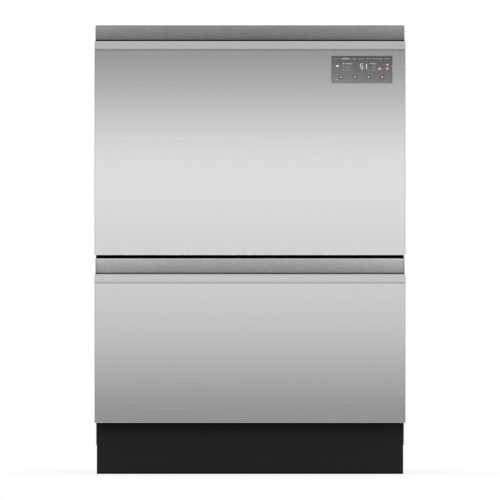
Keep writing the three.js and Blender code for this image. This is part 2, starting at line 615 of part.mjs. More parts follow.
function drawerUnit(drawer) {
  const unit = new THREE.Group();
  unit.position.set(0, -DEPTH / 2, drawer.rim);
  const named = (part) => `${drawer.name}_${part}`;
  const place = (part, made, material, position = [0, 0, 0]) => {
    const piece = mesh(named(part), made, material);
    piece.position.set(...position);
    unit.add(piece);
  };

  place('front_panel', frontPanel(drawer), stainless);
  place('handle_scoop', handleScoop(drawer), scoopSteel);
  place('front_casing', frontCasing(drawer), greyPlastic);
  place('tub', tub(), tubPlastic);
  place('wash_motor', washMotor(), darkPlastic);
  place('filter_plate', filterPlate(), greyPlastic);
  place('spray_arm', sprayArm(), greyPlastic, [0, TUB_CENTRE, TUB_FLOOR + 14.5]);
  place('dispenser', dispenser(), tubPlastic);
  place('dispenser_door', dispenserDoor(), greyPlastic, [DISPENSER.hingeX, DISPENSER.hingeY, 0]);
  place('basket', basket(), wireCoating);
  place('cutlery_basket', cutleryBasket(), darkPlastic);
  place('right_cup_rack', cupRack(), wireCoating, [RACK_HINGE.x, 0, RACK_HINGE.z]);
  place('left_cup_rack', mirrored(cupRack()), wireCoating, [-RACK_HINGE.x, 0, RACK_HINGE.z]);
  place('lid', lid(), greyPlastic);
  place('lid_seal', lidSeal(), rubber);
  place('drain_hose', drainHose(HOSE_OUTLETS[drawer.name]), rubber);
  for (const [side, handed] of [['right', (made) => made], ['left', mirrored]]) {
    place(`${side}_lid_lift`, handed(lidLift()), darkPlastic);
    for (const [member, made] of Object.entries(RAIL_PARTS)) {
      place(`${side}_${member}_rail`, handed(made), railSteel, [0, 0, RAIL_Z]);
    }
  }
  return unit;
}

// ---------------------------------------------------------------- cabinet

// A stiffening bead pressed into a side wall: a stadium raised on the inside and sunk on the outside.
function bead(y, z, length, height) {
  const radius = height / 2;
  const shape = new THREE.Shape();
  const half = length / 2 - radius;
  shape.absarc(half, 0, radius, -Math.PI / 2, Math.PI / 2);
  shape.absarc(-half, 0, radius, Math.PI / 2, 1.5 * Math.PI);
  const stadium = (grow, x0, x1) => {
    const geometry = new THREE.ExtrudeGeometry(shape, { depth: x1 - x0, bevelEnabled: false, curveSegments: 3 });
    geometry.scale((length + 2 * grow) / length, (height + 2 * grow) / height, 1);
    return solid(geometry.applyMatrix4(new THREE.Matrix4().makeBasis(Y, Z, X)).translate(x0, y, z));
  };
  const outside = CABINET_WIDTH / 2;
  return {
    ridge: stadium(1, outside - SHEET - 2.2, outside - 0.5),
    groove: stadium(0, outside - SHEET - 1.2, outside + 1),
  };
}

function sidePanel() {
  const outside = CABINET_WIDTH / 2;
  const path = [
    [outside - 15, DEPTH - 2], [outside, DEPTH - 2], [outside, CABINET_FRONT], [outside - 2.5, CABINET_FRONT]];
  const wall = alongZ(strip(path, -SHEET), CABINET_BOTTOM, CABINET_TOP);
  const toeNotch = block([0, outside + 1], [0, KICK_SETBACK], [0, KICK_TOP + CLEARANCE]);
  const beads = SIDE_BEADS.heights.map((z) => bead(SIDE_BEADS.middle, z, SIDE_BEADS.length, SIDE_BEADS.height));
  return cut(join(wall, beads.map(({ ridge }) => ridge)), beads.map(({ groove }) => groove), toeNotch);
}

function backPanel() {
  const half = CABINET_WIDTH / 2 - 2;
  const sheet = block([-half, half], [DEPTH - 1.7, DEPTH - 0.7], [CABINET_BOTTOM + 2, CABINET_TOP - 2]);
  const frames = [[470, 820], [140, 430]].map(([z0, z1]) => cut(
    block([-236, 236], [DEPTH - 1.2, DEPTH], [z0, z1]), block([-228, 228], [DEPTH - 3, DEPTH + 1], [z0 + 8, z1 - 8])));
  const notches = [HOSE_NOTCH, INLET_NOTCH].map((x) => block(x, [DEPTH - 3, DEPTH + 1], [CABINET_BOTTOM, NOTCH_TOP]));
  const vents = evenly(6, -75, 75).map((x) => block([x - 9, x + 9], [DEPTH - 3, DEPTH + 1], [448, 454]));
  return cut(join(sheet, frames), notches, vents);
}

function topPanel() {
  const half = CABINET_WIDTH / 2 - SHEET - CLEARANCE;
  const z = CABINET_TOP;
  const sheet = block([-half, half], [CABINET_FRONT + 4, DEPTH - 3.5], [z - SHEET, z]);
  const sides = block([half - 1, half], [CABINET_FRONT + 4.5, DEPTH - 4], [z - 12, z - 0.5]);
  const front = block([0.5 - half, half - 0.5], [CABINET_FRONT + 4, CABINET_FRONT + 5], [z - 11.5, z - 0.5]);
  const { depths, halfX, half: halfY } = TOP_BEADS;
  const beads = depths.map((y) => block([-halfX, halfX], [y - halfY, y + halfY], [z - 3, z - 0.5]));
  const grooves = depths.map((y) => block([2 - halfX, halfX - 2], [y + 2 - halfY, y + halfY - 2], [z - 2, z + 1]));
  const screwSlots = bothSides(block([196, 226], [CABINET_FRONT + 18, CABINET_FRONT + 26], [z - 3, z + 2]));
  return cut(join(sheet, bothSides(sides), front, beads), grooves, screwSlots);
}

function baseTray() {
  const half = CABINET_WIDTH / 2 - SHEET - CLEARANCE;
  const front = KICK_SETBACK + 20;
  const back = DEPTH - 4;
  const outer = block([-half, half], [front, back], [BASE_FLOOR - 8, BASE_TOP]);
  const hollow = block([3 - half, half - 3], [front + 3, back - 3], [BASE_FLOOR, BASE_TOP + 1]);
  const underside = evenly(3, -190, 190).map((x) =>
    block([x - 92, x + 92], [front + 40, back - 40], [BASE_FLOOR - 9, BASE_FLOOR - 2.5]));
  const posts = [FOOT_FRONT, FOOT_REAR].map((y) => uprightRod(15, FOOT_X, y, [CABINET_BOTTOM, BASE_TOP], 8));
  const threads = [FOOT_FRONT, FOOT_REAR].map((y) => uprightRod(6.9, FOOT_X, y, [CABINET_BOTTOM - 1, BASE_TOP + 1], 8));
  const inletNotch = block([208, 244], [back - 10, back + 1], [BASE_FLOOR + 3, BASE_TOP + 1]);
  return cut(join(cut(outer, hollow, underside), bothSides(join(posts))), bothSides(join(threads)), inletNotch);
}

// The toe board between the floor and the lower drawer, folded back along its top and at its ends.
function kickStrip() {
  const half = WALL_INSIDE;
  const y = KICK_SETBACK;
  const board = block([-half, half], [y, y + 1.2], [1, KICK_TOP]);
  const top = block([-half, half], [y, y + 17], [KICK_TOP - 1.2, KICK_TOP]);
  const ends = block([half - 1.2, half], [y + 0.5, y + 14], [1.5, KICK_TOP - 0.5]);
  const clips = block([150, 180], [y + 1, y + 19.7], [BASE_FLOOR - 4, BASE_FLOOR + 8]);
  return join(board, top, bothSides(join(ends, clips)));
}

function foot() {
  const pad = turned([[0, 0], [21, 0], [21, 3], [17, 7], [0, 7]], 0, 0, 12);
  const hexagon = uprightRod(11, 0, 0, [6, 10], 6);
  const stem = uprightRod(6, 0, 0, [9, FOOT_STEM], 8);
  return join(pad, hexagon, stem);
}

// The solenoid valve on the cold feed, seated in the base behind the right-hand rear corner.
function inletValve() {
  const body = block([206, 246], [516, 552], [BASE_FLOOR + CLEARANCE, 100]);
  const coil = uprightRod(14, 226, 528, [98, 122], 12);
  const thread = depthRod(13, 226, [550, DEPTH], 92, 12);
  const collar = depthRod(16, 226, [552, 558], 92, 12);
  const lead = block([212, 240], [524, 534], [112, 118]);
  return join(body, coil, thread, collar, lead);
}

function cabinet() {
  const group = new THREE.Group();
  group.position.y = -DEPTH / 2;
  const place = (name, made, material, position = [0, 0, 0]) => {
    const piece = mesh(name, made, material);
    piece.position.set(...position);
    group.add(piece);
  };
  place('right_side_panel', sidePanel(), galvanised);
  place('left_side_panel', mirrored(sidePanel()), galvanised);
  place('back_panel', backPanel(), galvanised);
  place('top_panel', topPanel(), galvanised);
  place('base_tray', baseTray(), darkPlastic);
  place('kick_strip', kickStrip(), blackPaint);
  place('water_inlet_valve', inletValve(), tubPlastic);
  for (const [end, y] of [['front', FOOT_FRONT], ['rear', FOOT_REAR]]) {
    place(`foot_${end}_right`, foot(), darkPlastic, [FOOT_X, y, 0]);
    place(`foot_${end}_left`, foot(), darkPlastic, [-FOOT_X, y, 0]);
  }
  return group;
}

// ---------------------------------------------------------------- the whole machine

const dishwasher = new THREE.Group();
dishwasher.add(cabinet(), drawerUnit(UPPER), drawerUnit(LOWER));

const controls = mesh('control_panel', controlPanel(), panelGlass);
controls.position.set(0, -DEPTH / 2, UPPER.rim);
dishwasher.add(controls);

export default dishwasher;
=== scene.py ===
"""A double-drawer dishwasher: the finish of every surface, built around its mechanical frame.

Sizes in the shapes are millimetres. X runs across, depth counts back from the drawers' faces, and heights
count up from the floor, or from a drawer's rim where the shape belongs to a drawer.
"""

import math
import random

import bmesh
import bpy
from bpy.props import FloatProperty, FloatVectorProperty, IntProperty, PointerProperty
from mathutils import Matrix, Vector
from mathutils.geometry import tessellate_polygon


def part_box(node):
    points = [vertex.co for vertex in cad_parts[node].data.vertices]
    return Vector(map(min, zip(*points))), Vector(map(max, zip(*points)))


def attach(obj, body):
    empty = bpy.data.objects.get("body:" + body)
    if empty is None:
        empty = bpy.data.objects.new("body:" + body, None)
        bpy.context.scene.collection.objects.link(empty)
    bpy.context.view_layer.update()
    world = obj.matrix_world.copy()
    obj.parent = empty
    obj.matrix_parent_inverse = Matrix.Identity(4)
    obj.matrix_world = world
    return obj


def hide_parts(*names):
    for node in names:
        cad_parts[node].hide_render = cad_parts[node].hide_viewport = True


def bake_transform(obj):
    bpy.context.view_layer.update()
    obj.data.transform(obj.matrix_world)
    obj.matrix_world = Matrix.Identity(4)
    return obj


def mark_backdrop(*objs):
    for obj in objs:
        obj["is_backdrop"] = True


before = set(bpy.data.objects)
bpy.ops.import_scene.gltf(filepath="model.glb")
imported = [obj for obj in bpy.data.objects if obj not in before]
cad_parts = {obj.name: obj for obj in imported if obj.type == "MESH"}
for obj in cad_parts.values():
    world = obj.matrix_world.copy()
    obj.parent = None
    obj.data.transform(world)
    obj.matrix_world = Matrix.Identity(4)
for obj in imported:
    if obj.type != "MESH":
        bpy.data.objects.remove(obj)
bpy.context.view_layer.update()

bl_info = {
    "name": "Double-Drawer Dishwasher",
    "version": (1, 0, 0),
    "blender": (4, 5, 0),
    "location": "3D View > Sidebar > Dishwasher",
    "description": "Skins, racks, tubs and finishes of a two-drawer dishwasher on its moving frame",
    "category": "Add Mesh",
}

MM = 0.001
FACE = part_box("lower_front_panel")[0].y / MM
RIMS = {"upper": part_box("upper_tub")[1].z / MM, "lower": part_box("lower_tub")[1].z / MM}
DRAWERS = ("upper", "lower")
SIDES = {"right": 1, "left": -1}
LIP_TOPS = {drawer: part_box(f"{drawer}_front_panel")[1].z / MM for drawer in DRAWERS}
FRONT_BOTTOMS = {drawer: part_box(f"{drawer}_front_panel")[0].z / MM for drawer in DRAWERS}
FRONT_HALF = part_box("lower_front_panel")[1].x / MM
# The scoops' edges stand this far outside those of the plain solids.
SCOOP_MARGIN = 0.6
SCOOP_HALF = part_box("lower_handle_scoop")[1].x / MM + SCOOP_MARGIN
LIP_HEIGHT = 15.5
LIP_LEAN = 7
FRONT_RETURN = (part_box("lower_front_panel")[1].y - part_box("lower_front_panel")[0].y) / MM
AXES = {
    "x": lambda a, b, along: (along, a, b),
    "y": lambda a, b, along: (a, along, b),
    "z": lambda a, b, along: (a, b, along),
}
WAYS = {
    "up": lambda a, b, out: (a, b, out),
    "down": lambda a, b, out: (a, b, -out),
    "back": lambda a, b, out: (a, out, b),
    "front": lambda a, b, out: (a, -out, b),
    "right": lambda a, b, out: (out, a, b),
}


def extent(node, rim=0):
    """A node's lowest and highest corners: across, depth behind the faces, and height above a rim."""
    low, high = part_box(node)
    shift = Vector((0, FACE, rim))
    return low / MM - shift, high / MM - shift


# ---------------------------------------------------------------- settings


def length(name, description, millimetres):
    """A size that the sidebar shows as a length."""
    return FloatProperty(name=name, description=description, default=millimetres * MM, unit="LENGTH", min=0)


def colour(name, description, rgb):
    return FloatVectorProperty(name=name, description=description, default=rgb, subtype="COLOR", min=0, max=1)


class DishwasherFinishes(bpy.types.PropertyGroup):
    """Colours of the materials."""

    stainless: colour("Stainless", "Brushed steel of the two drawer fronts", (0.78, 0.78, 0.785))
    scoop: colour("Scoop steel", "Brushed steel of the finger scoops", (0.66, 0.66, 0.665))
    galvanised: colour("Galvanised", "Zinc-coated sheet of the cabinet", (0.56, 0.575, 0.585))
    rail: colour("Rail steel", "Bright zinc of the drawer rails", (0.66, 0.67, 0.68))
    paint: colour("Black paint", "Satin black of the toe board", (0.009, 0.009, 0.0095))
    grey: colour("Grey plastic", "Casings, lids, filters and spray arms", (0.27, 0.285, 0.295))
    tub: colour("Tub plastic", "Polypropylene of the wash tubs", (0.47, 0.49, 0.505))
    dark: colour("Dark plastic", "Motors, lifts, base and cutlery baskets", (0.035, 0.038, 0.042))
    wire: colour("Wire coating", "Nylon on the basket wires", (0.19, 0.205, 0.215))
    rubber: colour("Rubber", "Seals", (0.02, 0.021, 0.022))
    hose: colour("Hose", "Ribbed drain hoses", (0.24, 0.245, 0.25))
    glass: colour("Display glass", "Smoked face of the touch display", (0.2, 0.201, 0.203))


class DishwasherFront(bpy.types.PropertyGroup):
    """Sizes of the folded fronts and their scoops."""

    skin: length("Skin", "Thickness of the stainless sheet", 1.2)
    bend: length("Bend", "Outside radius of the folds at the sides and bottom", 1.4)
    lip_height: length("Lip height", "Height of the leaning lip", LIP_HEIGHT)
    lip_lean: length("Lip lean", "How far back the lip's top edge stands", LIP_LEAN)
    crease_depth: length("Crease depth", "Depth of the pressed line under the lip", 1.3)
    scoop_drop: length("Scoop drop", "Depth of the finger trough below the lip's top edge", 26)
    scoop_radius: length("Scoop radius", "Radius of the trough's back corner", 16)


class DishwasherStudio(bpy.types.PropertyGroup):
    """Camera and light."""

    image_pixels: IntProperty(
        name="Image size", description="Width and height of the image", default=500, min=1)
    floor_line: FloatProperty(
        name="Floor line", description="Row where the object meets the floor", default=474.5)
    scale: length("Scale", "Size of one pixel at the drawers' faces", 1.926)
    distance: length("Distance", "From the camera to the drawers' faces", 30000)
    card_distance: length("Card distance", "From the light card to the drawers' faces", 1150)


# ---------------------------------------------------------------- shader maths


class Value:
    """A shader socket that can stand in a sum."""

    def __init__(self, tree, socket):
        self.tree = tree
        self.socket = socket

    def __add__(self, other):
        return self.tree.work("ADD", self, other)

    __radd__ = __add__

    def __mul__(self, other):
        return self.tree.work("MULTIPLY", self, other)

    __rmul__ = __mul__

    def __sub__(self, other):
        return self.tree.work("SUBTRACT", self, other)

    def __rsub__(self, other):
        return self.tree.work("SUBTRACT", other, self)

    def __gt__(self, other):
        return self.tree.work("GREATER_THAN", self, other)

    def __abs__(self):
        return self.tree.work("ABSOLUTE", self)


class Made:
    """A node that has been added, whose outputs are taken by number or name."""

    def __init__(self, tree, node):
        self.tree = tree
        self.node = node

    def out(self, which):
        return Value(self.tree, self.node.outputs[which])


class Tree:
    """A tree of shader nodes that is being filled."""

    def __init__(self, node_tree):
        self.nodes = node_tree.nodes
        self.links = node_tree.links

    def node(self, kind, settings=None, inputs=None):
        """A node of any kind, with its settings made before the values or links of its sockets."""
        node = self.nodes.new(kind)
        for setting, value in (settings or {}).items():
            if setting == "stops":
                self.set_stops(node.color_ramp, value)
            else:
                setattr(node, setting, value)
        for socket, value in (inputs or {}).items():
            self.feed(node.inputs[socket], value)
        return Made(self, node)

    def set_stops(self, ramp, stops):
        while len(ramp.elements) < len(stops):
            ramp.elements.new(1)
        for element, (place, grey) in zip(ramp.elements, stops):
            element.position = place
            element.color = (grey, grey, grey, 1)

    def feed(self, socket, value):
        if isinstance(value, Value):
            self.links.new(value.socket, socket)
        else:
            socket.default_value = rgba(value) if socket.type == "RGBA" else value

    def work(self, operation, *terms):
        """One step of arithmetic on values and numbers."""
        return self.node("ShaderNodeMath", {"operation": operation}, dict(enumerate(terms))).out(0)

    def seen(self):
        """1 for what is seen straight, mirrored or through glass, and 0 for light on plain surfaces."""
        path = self.node("ShaderNodeLightPath")
        seen = path.out("Is Camera Ray")
        for ray in ("Is Glossy Ray", "Is Transmission Ray"):
            seen = self.work("MAXIMUM", seen, path.out(ray))
        return seen


class Shader(Tree):
    """A material being made, with a Principled shader as its surface."""

    def __init__(self, name, constants):
        self.material = bpy.data.materials.new(name)
        self.material.use_nodes = True
        super().__init__(self.material.node_tree)
        self.surface = self.nodes["Principled BSDF"]
        self.output = self.nodes["Material Output"].inputs[0]
        for socket, value in constants.items():
            self.feed(self.surface.inputs[socket], value)

    def give(self, **links):
        """Feeds the surface's sockets, whose names are written with underscores."""
        for name, value in links.items():
            self.feed(self.surface.inputs[name.replace("_", " ")], value)

    def light(self, tone, strength):
        return self.node("ShaderNodeEmission", None, {"Color": tone, "Strength": strength}).out(0)

    def glow(self, tone, strength):
        """Light given off by the material in place of its surface."""
        self.feed(self.output, self.light(tone, strength))

    def point(self):
        """Object coordinates in metres."""
        return self.node("ShaderNodeTexCoord").out("Object")

    def axis(self, which):
        return self.node("ShaderNodeSeparateXYZ", None, {0: self.point()}).out(which)

    def place(self, scale):
        """Object coordinates stretched by three factors."""
        settings = {"operation": "MULTIPLY"}
        return self.node("ShaderNodeVectorMath", settings, {0: self.point(), 1: scale}).out(0)

    def noise(self, scale, detail=2, roughness=0.5):
        """Noise from 0 to 1 whose grains are 1 / scale metres long along each axis."""
        settings = {"noise_dimensions": "3D"}
        inputs = {"Vector": self.place(scale), "Scale": 1, "Detail": detail, "Roughness": roughness}
        return self.node("ShaderNodeTexNoise", settings, inputs).out(0)

    def shade(self, rgb, factor):
        """A colour made lighter or darker by a factor that varies over the surface."""
        settings = {"data_type": "RGBA", "blend_type": "MULTIPLY"}
        return self.node("ShaderNodeMix", settings, {"Factor": 1, 6: rgb, 7: factor}).out(2)

    def ramp(self, value, start, end, first=0, last=1):
        """A smooth change from first to last while a value runs from start to end."""
        settings = {"interpolation_type": "SMOOTHSTEP"}
        inputs = {"Value": value, "From Min": start, "From Max": end, "To Min": first, "To Max": last}
        return self.node("ShaderNodeMapRange", settings, inputs).out(0)

    def curve(self, value, stops):
        """A value looked up in stops, which are pairs of a place and a level."""
        start = stops[0][0]
        reach = stops[-1][0] - start
        share = (value - start) * (1 / reach)
        places = [((place - start) / reach, level) for place, level in stops]
        return self.node("ShaderNodeValToRGB", {"stops": places}, {"Fac": share}).out(0)

    def bump(self, height, millimetres, strength=1):
        inputs = {"Strength": strength, "Distance": millimetres * MM, "Height": height}
        return self.node("ShaderNodeBump", None, inputs).out(0)


def rgba(value):
    return (*tuple(value)[:3], 1)


# ---------------------------------------------------------------- finishes


# A point within this distance of a front's lower edge, in metres, belongs to that front.
NEAR_EDGE = 0.0005
# Millimetres above a front's bottom edge over which its painted highlight and painted shade fade out.
EDGE_FADE = (1.6, 2.4)
# Painted shade on the scoops' steel, black at the lip's top edge: brightness at heights in millimetres above
# that edge.
SCOOP_PAINTED_SHADE = [
    (-9, 0.85), (-3, 0.3), (-0.5, 0.05), (1.9, 0.05), (2.5, 0.42),
    (5, 0.56), (10.6, 0.62), (18, 0.73), (26, 0.84), (32, 0.86),
]
# Painted light on the lower scoop: what its brightness is multiplied by, at heights in millimetres above the
# upper front's bottom
# edge: painted shade made paler beside its own lip, a painted highlight along its top edge, painted shadow
# black in the slot above it, and unchanged further up.
SLOT_PAINTED_LIGHT = [
    (-40, 3.2), (-34.4, 3.2), (-33.6, 0.95), (-10.1, 0.93), (-9.1, 1.06),
    (-6.6, 1.06), (-6.3, 0), (-1, 0), (0, 1),
]
# Depth behind the faces, in millimetres, that the painted shade along the cabinet's front edges reaches to.
PAINTED_SHADE_DEPTH = 36


def brushed_steel(name, rgb, roughness, contrast, streaks, tone, relief):
    """Sheet with a grain of fine scratches along X, with light and shade painted by tone over its height and
    width.
    """
    shader = Shader(name, {"Metallic": 1})
    hairline = shader.noise((2, 60, 3600), detail=1)
    streak = shader.noise(streaks, detail=3, roughness=0.6)
    grain = hairline * 0.3 + streak * 0.7
    shader.give(
        # tone paints light and shade into the base colour.
        Base_Color=shader.shade(rgb, (1 - contrast * 0.5 + contrast * grain) * tone(shader)),
        Roughness=roughness - 0.04 + 0.08 * grain,
        Normal=shader.bump(hairline, 0.012, strength=relief),
    )
    return shader.material


def on_upper(shader):
    """1 on the upper front and its scoop, 0 on the lower."""
    return shader.axis(2) > FRONT_BOTTOMS["upper"] * MM - NEAR_EDGE


def above_lip(shader):
    """Height in millimetres above the top edge of the lip of whichever drawer a point belongs to."""
    step = (LIP_TOPS["upper"] - LIP_TOPS["lower"]) * MM
    return (shader.axis(2) - LIP_TOPS["lower"] * MM - on_upper(shader) * step) * 1000


def beside(shader, half, width):
    """1 in the last millimetres before both ends, 0 between them."""
    return shader.ramp(abs(shader.axis(0)), (half - width) * MM, (half - width / 2) * MM)


def up_from_foot(shader, drawer, first, last):
    """A change from first to last just above a front's bottom edge."""
    foot = FRONT_BOTTOMS[drawer]
    return shader.ramp(shader.axis(2), *((foot + rise) * MM for rise in EDGE_FADE), first, last)


def front_painted_light(shader):
    """Painted shade at the side folds, in the creases and at the lower front's bottom edge; a painted
    highlight at the upper front's.
    """
    above = above_lip(shader)
    leant = shader.curve(above, [(-LIP_HEIGHT, 0), (0, 1)]) * LIP_LEAN
    depth = shader.axis(1) * 1000 - FACE - leant
    near = shader.ramp(depth, 1.2, 1.8, 1, 0)
    crease = shader.ramp(above, -19.4, -18.6) * shader.ramp(above, -15.6, -15.2, 1, 0)
    bright = up_from_foot(shader, "upper", 0.42, 0) * on_upper(shader)
    shaded = up_from_foot(shader, "lower", 0.7, 1)
    # near and crease paint shade at the side folds and in the crease, shaded paints shade at the lower
    # front's bottom edge, and bright paints a highlight.
    return (1 - 0.5 * beside(shader, FRONT_HALF, 1.3) * near) * (1 - 0.26 * crease) * shaded + bright * near


def scoop_painted_light(shader):
    """Painted shade, black where the wall goes down behind the lip; painted light, paler towards its top edge
    and ends; painted shade at each end's last millimetre.
    """
    # All of this is painted light and shade: by height above the lip, across towards the ends, and in the
    # lower scoop's slot.
    across = shader.axis(0) * (1 / (FRONT_HALF * MM))
    fall = shader.curve(above_lip(shader), SCOOP_PAINTED_SHADE) * (1 + 0.2 * across * across)
    lower = shader.curve(shader.axis(2) * 1000 - FRONT_BOTTOMS["upper"], SLOT_PAINTED_LIGHT)
    return fall * lower * (1 - 0.3 * beside(shader, SCOOP_HALF, 1))


def galvanised_sheet(name, rgb):
    """Zinc spangle: angular flakes that differ in tone and gloss, with painted shade, nearly black, along the
    sheets' front edges.
    """
    shader = Shader(name, {"Metallic": 1})
    inputs = {"Vector": shader.place((90, 90, 90)), "Scale": 1}
    flakes = shader.node("ShaderNodeTexVoronoi", {"feature": "F1"}, inputs).out("Color")
    tone = shader.node("ShaderNodeSeparateColor", None, {0: flakes}).out(0)
    cloud = shader.noise((6, 6, 6))
    # Painted shade: the sheets are nearly black in front of this depth, where the gaps between the drawers
    # show.
    inside = shader.axis(1) > (FACE + PAINTED_SHADE_DEPTH) * MM
    shader.give(
        Base_Color=shader.shade(rgb, (0.86 + 0.12 * tone + 0.14 * cloud) * (0.03 + 0.97 * inside)),
        Roughness=0.36 + 0.12 * tone + 0.08 * cloud,
        Normal=shader.bump(tone, 0.03, strength=0.3),
    )
    return shader.material


def plated_steel(name, rgb):
    """Drawn strip with faint lines along the rails."""
    shader = Shader(name, {"Metallic": 1})
    lines = shader.noise((700, 4, 700), detail=1)
    cloud = shader.noise((9, 9, 9))
    shader.give(
        Base_Color=shader.shade(rgb, 0.9 + 0.1 * lines + 0.06 * cloud),
        Roughness=0.24 + 0.12 * lines,
        Normal=shader.bump(lines, 0.01, strength=0.4),
    )
    return shader.material


def satin_paint(name, rgb):
    """Sprayed paint with a faint orange peel, and a painted shadow under the lower front's edge."""
    shader = Shader(name, {"Specular IOR Level": 0.25})
    foot = FRONT_BOTTOMS["lower"] * MM
    # Painted shadow: darker at the top of the toe board, under the lower front's overhang.
    overhang_shadow = shader.ramp(shader.axis(2), foot - 0.04, foot, 1, 0.15)
    peel = shader.noise((420, 420, 420), detail=1)
    cloud = shader.noise((5, 5, 5))
    shader.give(
        Base_Color=shader.shade(rgb, (0.85 + 0.3 * cloud) * overhang_shadow),
        Roughness=0.42 + 0.1 * peel,
        Normal=shader.bump(peel, 0.05, strength=0.4),
    )
    return shader.material


def moulded_plastic(name, rgb, roughness, texture=0.04):
    """Injection-moulded plastic with a spark-eroded texture and slight flow marks."""
    shader = Shader(name, {"Specular IOR Level": 0.5})
    pits = shader.noise((900, 900, 900), detail=1)
    flow = shader.noise((7, 7, 3))
    shader.give(
        Base_Color=shader.shade(rgb, 0.93 + 0.08 * flow + 0.06 * pits),
        Roughness=roughness - 0.05 + 0.1 * flow,
        Normal=shader.bump(pits, texture, strength=0.5),
    )
    return shader.material


def coated_wire(name, rgb):
    """Dipped nylon, glossy where it ran and dull where it cooled."""
    shader = Shader(name, {"Coat Weight": 0.25, "Coat Roughness": 0.25})
    run = shader.noise((60, 60, 60))
    shader.give(
        Base_Color=shader.shade(rgb, 0.9 + 0.2 * run),
        Roughness=0.3 + 0.15 * run,
        Normal=shader.bump(run, 0.1, strength=0.3),
    )
    return shader.material


def soft_rubber(name, rgb, gloss=0.5):
    shader = Shader(name, {"Specular IOR Level": gloss})
    dust = shader.noise((160, 160, 160), detail=3)
    shader.give(
        Base_Color=shader.shade(rgb, 0.8 + 0.4 * dust),
        Roughness=0.62 + 0.16 * dust,
        Normal=shader.bump(dust, 0.04, strength=0.4),
    )
    return shader.material


def smoked_glass(name, rgb):
    """The display's face: printed film behind glass, paler towards its lower left corner."""
    low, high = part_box("control_panel")
    shader = Shader(name, {"Coat Weight": 0.6, "Coat Roughness": 0.06})
    fall = (high.z - shader.axis(2)) * (1 / (high.z - low.z))
    side = (high.x - shader.axis(0)) * (1 / (high.x - low.x))
    film = shader.noise((260, 260, 260), detail=1)
    shader.give(
        Base_Color=shader.shade(rgb, 0.7 + 0.75 * fall + 0.35 * fall * side + 0.05 * film),
        Roughness=0.3 + 0.05 * film,
    )
    return shader.material


def lit_mark(name, rgb, strength):
    """A printed symbol lit from behind, a little uneven across."""
    shader = Shader(name, {"Emission Color": rgb, "Emission Strength": strength, "Roughness": 0.4})
    uneven = shader.noise((900, 900, 900), detail=1)
    shader.give(Base_Color=shader.shade(rgb, 0.7 + 0.3 * uneven))
    return shader.material


FINISHES = {}


def make_finishes(colours):
    """Every material, under the name of its slot in the record."""
    FINISHES.update({
        "stainless": brushed_steel(
            "brushed_front_steel", colours.stainless, 0.26, 0.04, (0.8, 30, 420), front_painted_light, 0.02),
        "scoop_steel": brushed_steel(
            "brushed_scoop_steel", colours.scoop, 0.32, 0.6, (60, 60, 330), scoop_painted_light, 0.2),
        "galvanised": galvanised_sheet("galvanised_sheet", colours.galvanised),
        "rail_steel": plated_steel("plated_rail_steel", colours.rail),
        "black_paint": satin_paint("satin_black_paint", colours.paint),
        "grey_plastic": moulded_plastic("grey_moulding", colours.grey, 0.45),
        "tub_plastic": moulded_plastic("tub_polypropylene", colours.tub, 0.36, texture=0.02),
        "dark_plastic": moulded_plastic("dark_moulding", colours.dark, 0.5),
        "foot_plastic": moulded_plastic("foot_nylon", colours.dark, 0.42),
        "motor_housing": moulded_plastic("motor_moulding", colours.dark, 0.55, texture=0.06),
        "coated_wire": coated_wire("nylon_coated_wire", colours.wire),
        "rubber": soft_rubber("seal_rubber", colours.rubber),
        "hose_rubber": soft_rubber("hose_wall", colours.hose),
        # Near-black rubber for the toe board's wiper and for the strip of painted shade between the drawers.
        "gasket": soft_rubber("gasket_rubber", (0.003, 0.003, 0.003), 0.1),
        "panel_glass": smoked_glass("display_glass", colours.glass),
        "white_mark": lit_mark("white_mark", (0.92, 0.94, 0.94), 0.35),
        "dim_mark": lit_mark("dim_mark", (0.62, 0.63, 0.63), 0.14),
        "red_mark": lit_mark("red_mark", (0.8, 0.02, 0.04), 0.5),
        "touch_ring": lit_mark("touch_ring", (0.12, 0.12, 0.12), 0),
    })


# ---------------------------------------------------------------- solids


